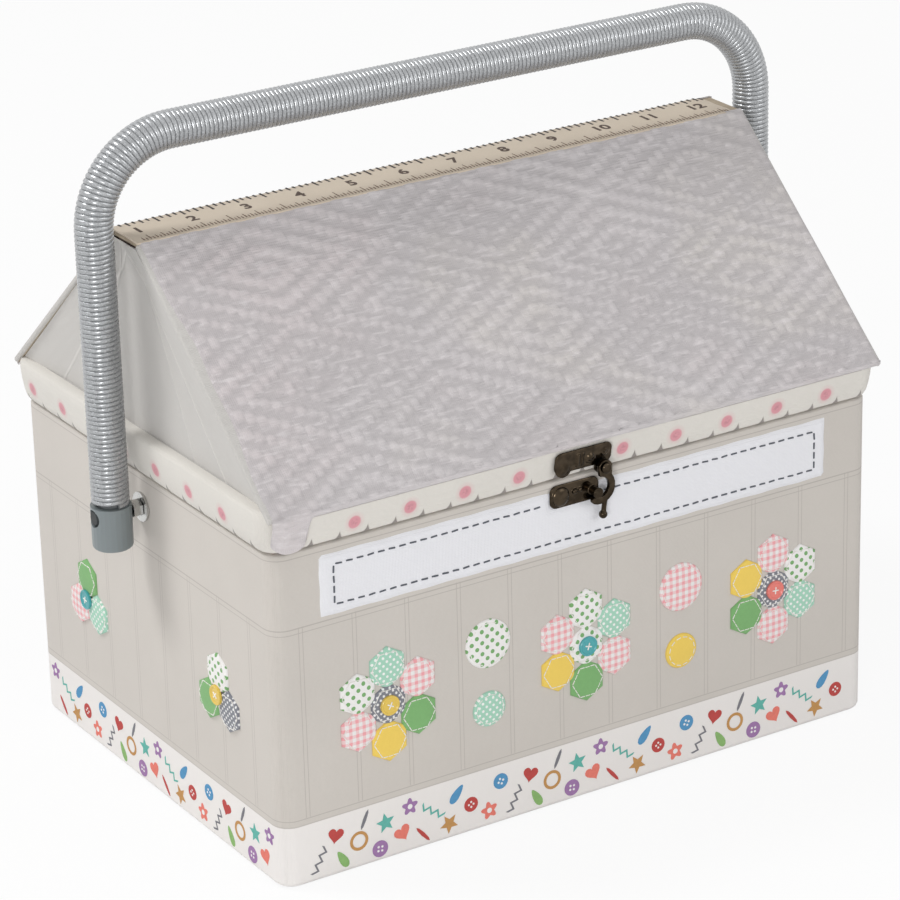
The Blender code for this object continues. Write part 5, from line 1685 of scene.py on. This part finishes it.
class SEWBOX_OT_stage(SewingBoxOperator):
    """Make the floor, the lamps, the world and the camera"""

    bl_idname = "sewbox.stage"
    bl_label = "Stage"

    # The camera as fitted to the photograph: place, yaw, pitch and roll, and focal length in widths
    CAMERA_PLACE = (-0.8325, -1.3468, 0.776)
    CAMERA_TURN = (0.5548, -0.3903, -0.0264)
    CAMERA_LENGTH = 3904.3 / 900
    SENSOR = 36
    AIM = (0, 0, 0.13)
    # Place, size and power of each lamp
    LAMPS = {
        "key_lamp": ((-1.1, 0.75, 1.9), 0.6, 20),
        "front_lamp": ((-1.7, -1.8, 0.6), 0.5, 17),
        "right_lamp": ((1.4, -2.1, 1.3), 1.4, 13),
    }

    def build(self):
        bpy.context.scene.view_settings.view_transform = "Standard"
        floor = add("plane", size=8, location=(0, 0, -0.02 * MM))
        floor.name = "floor"
        self.white(floor)
        self.world()
        for name, settings in self.LAMPS.items():
            self.lamp(name, *settings)
        self.camera()

    def camera(self):
        data = bpy.data.cameras.new("camera")
        data.sensor_width = self.SENSOR
        data.lens = self.CAMERA_LENGTH * self.SENSOR
        data.clip_start = 0.1
        data.clip_end = 20
        camera = bpy.data.objects.new("camera", data)
        bpy.context.scene.collection.objects.link(camera)
        yaw, pitch, roll = self.CAMERA_TURN
        turn = turned(-yaw) @ turned(QUARTER + pitch, "X") @ turned(roll)
        camera.matrix_world = shift(*self.CAMERA_PLACE) @ turn
        bpy.context.scene.camera = camera

    def white(self, floor):
        """A floor that the camera sees as nearly white, and that still takes shadows."""
        made = Finish("floor", [0.88, 0.88, 0.88], 0.9)
        glow = made.node("Emission")
        mixed = made.node("MixShader")
        made.link(made.times(made.seen(), 0.9), mixed.inputs[0])
        made.link(made.tree.nodes["Principled BSDF"].outputs[0], mixed.inputs[1])
        made.link(glow.outputs[0], mixed.inputs[2])
        made.link(mixed.outputs[0], made.tree.nodes["Material Output"].inputs["Surface"])
        floor.data.materials.append(made.material)

    def world(self):
        """White for the camera, and half as bright as a light."""
        world = bpy.data.worlds.new("studio")
        bpy.context.scene.world = world
        world.use_nodes = True
        nodes = Nodes(world.node_tree)
        back = world.node_tree.nodes["Background"]
        nodes.link(nodes.ramp(nodes.seen(), 0.0, 1.0, 0.5, 1.0), back.inputs["Strength"])
        back.inputs["Color"].default_value = (1, 1, 1, 1)

    def lamp(self, name, place, size, power):
        data = bpy.data.lights.new(name, "AREA")
        data.energy = power
        data.size = size
        lamp = bpy.data.objects.new(name, data)
        bpy.context.scene.collection.objects.link(lamp)
        lamp.location = place
        lamp.rotation_euler = (Vector(self.AIM) - Vector(place)).to_track_quat("-Z", "Y").to_euler()


class SEWBOX_PT_panel(bpy.types.Panel):
    bl_label = "Sewing Box"
    bl_idname = "SEWBOX_PT_panel"
    bl_space_type = "VIEW_3D"
    bl_region_type = "UI"
    bl_category = "Sewing Box"

    def draw(self, context):
        column = self.layout.column(align=True)
        for group in (sizes(), colours()):
            for name in group.bl_rna.properties.keys():
                if name not in ("rna_type", "name"):
                    column.prop(group, name)
        for operator in OPERATORS:
            column.operator(operator.bl_idname)


OPERATORS = (
    SEWBOX_OT_finishes,
    SEWBOX_OT_walls,
    SEWBOX_OT_sign,
    SEWBOX_OT_rim,
    SEWBOX_OT_gables,
    SEWBOX_OT_roof,
    SEWBOX_OT_ribbon,
    SEWBOX_OT_handle,
    SEWBOX_OT_patchwork,
    SEWBOX_OT_band,
    SEWBOX_OT_lining,
    SEWBOX_OT_lid_fittings,
    SEWBOX_OT_latch,
    SEWBOX_OT_screws,
    SEWBOX_OT_stage,
)
CLASSES = (SewingBoxSizes, SewingBoxColours, *OPERATORS, SEWBOX_PT_panel)


def register():
    for found in CLASSES:
        bpy.utils.register_class(found)
    bpy.types.Scene.sewing_box_sizes = bpy.props.PointerProperty(type=SewingBoxSizes)
    bpy.types.Scene.sewing_box_colours = bpy.props.PointerProperty(type=SewingBoxColours)


def unregister():
    del bpy.types.Scene.sewing_box_sizes
    del bpy.types.Scene.sewing_box_colours
    for found in reversed(CLASSES):
        bpy.utils.unregister_class(found)


def main():
    register()
    for operator in OPERATORS:
        family, name = operator.bl_idname.split(".")
        getattr(getattr(bpy.ops, family), name)()


if __name__ == "__main__":
    main()
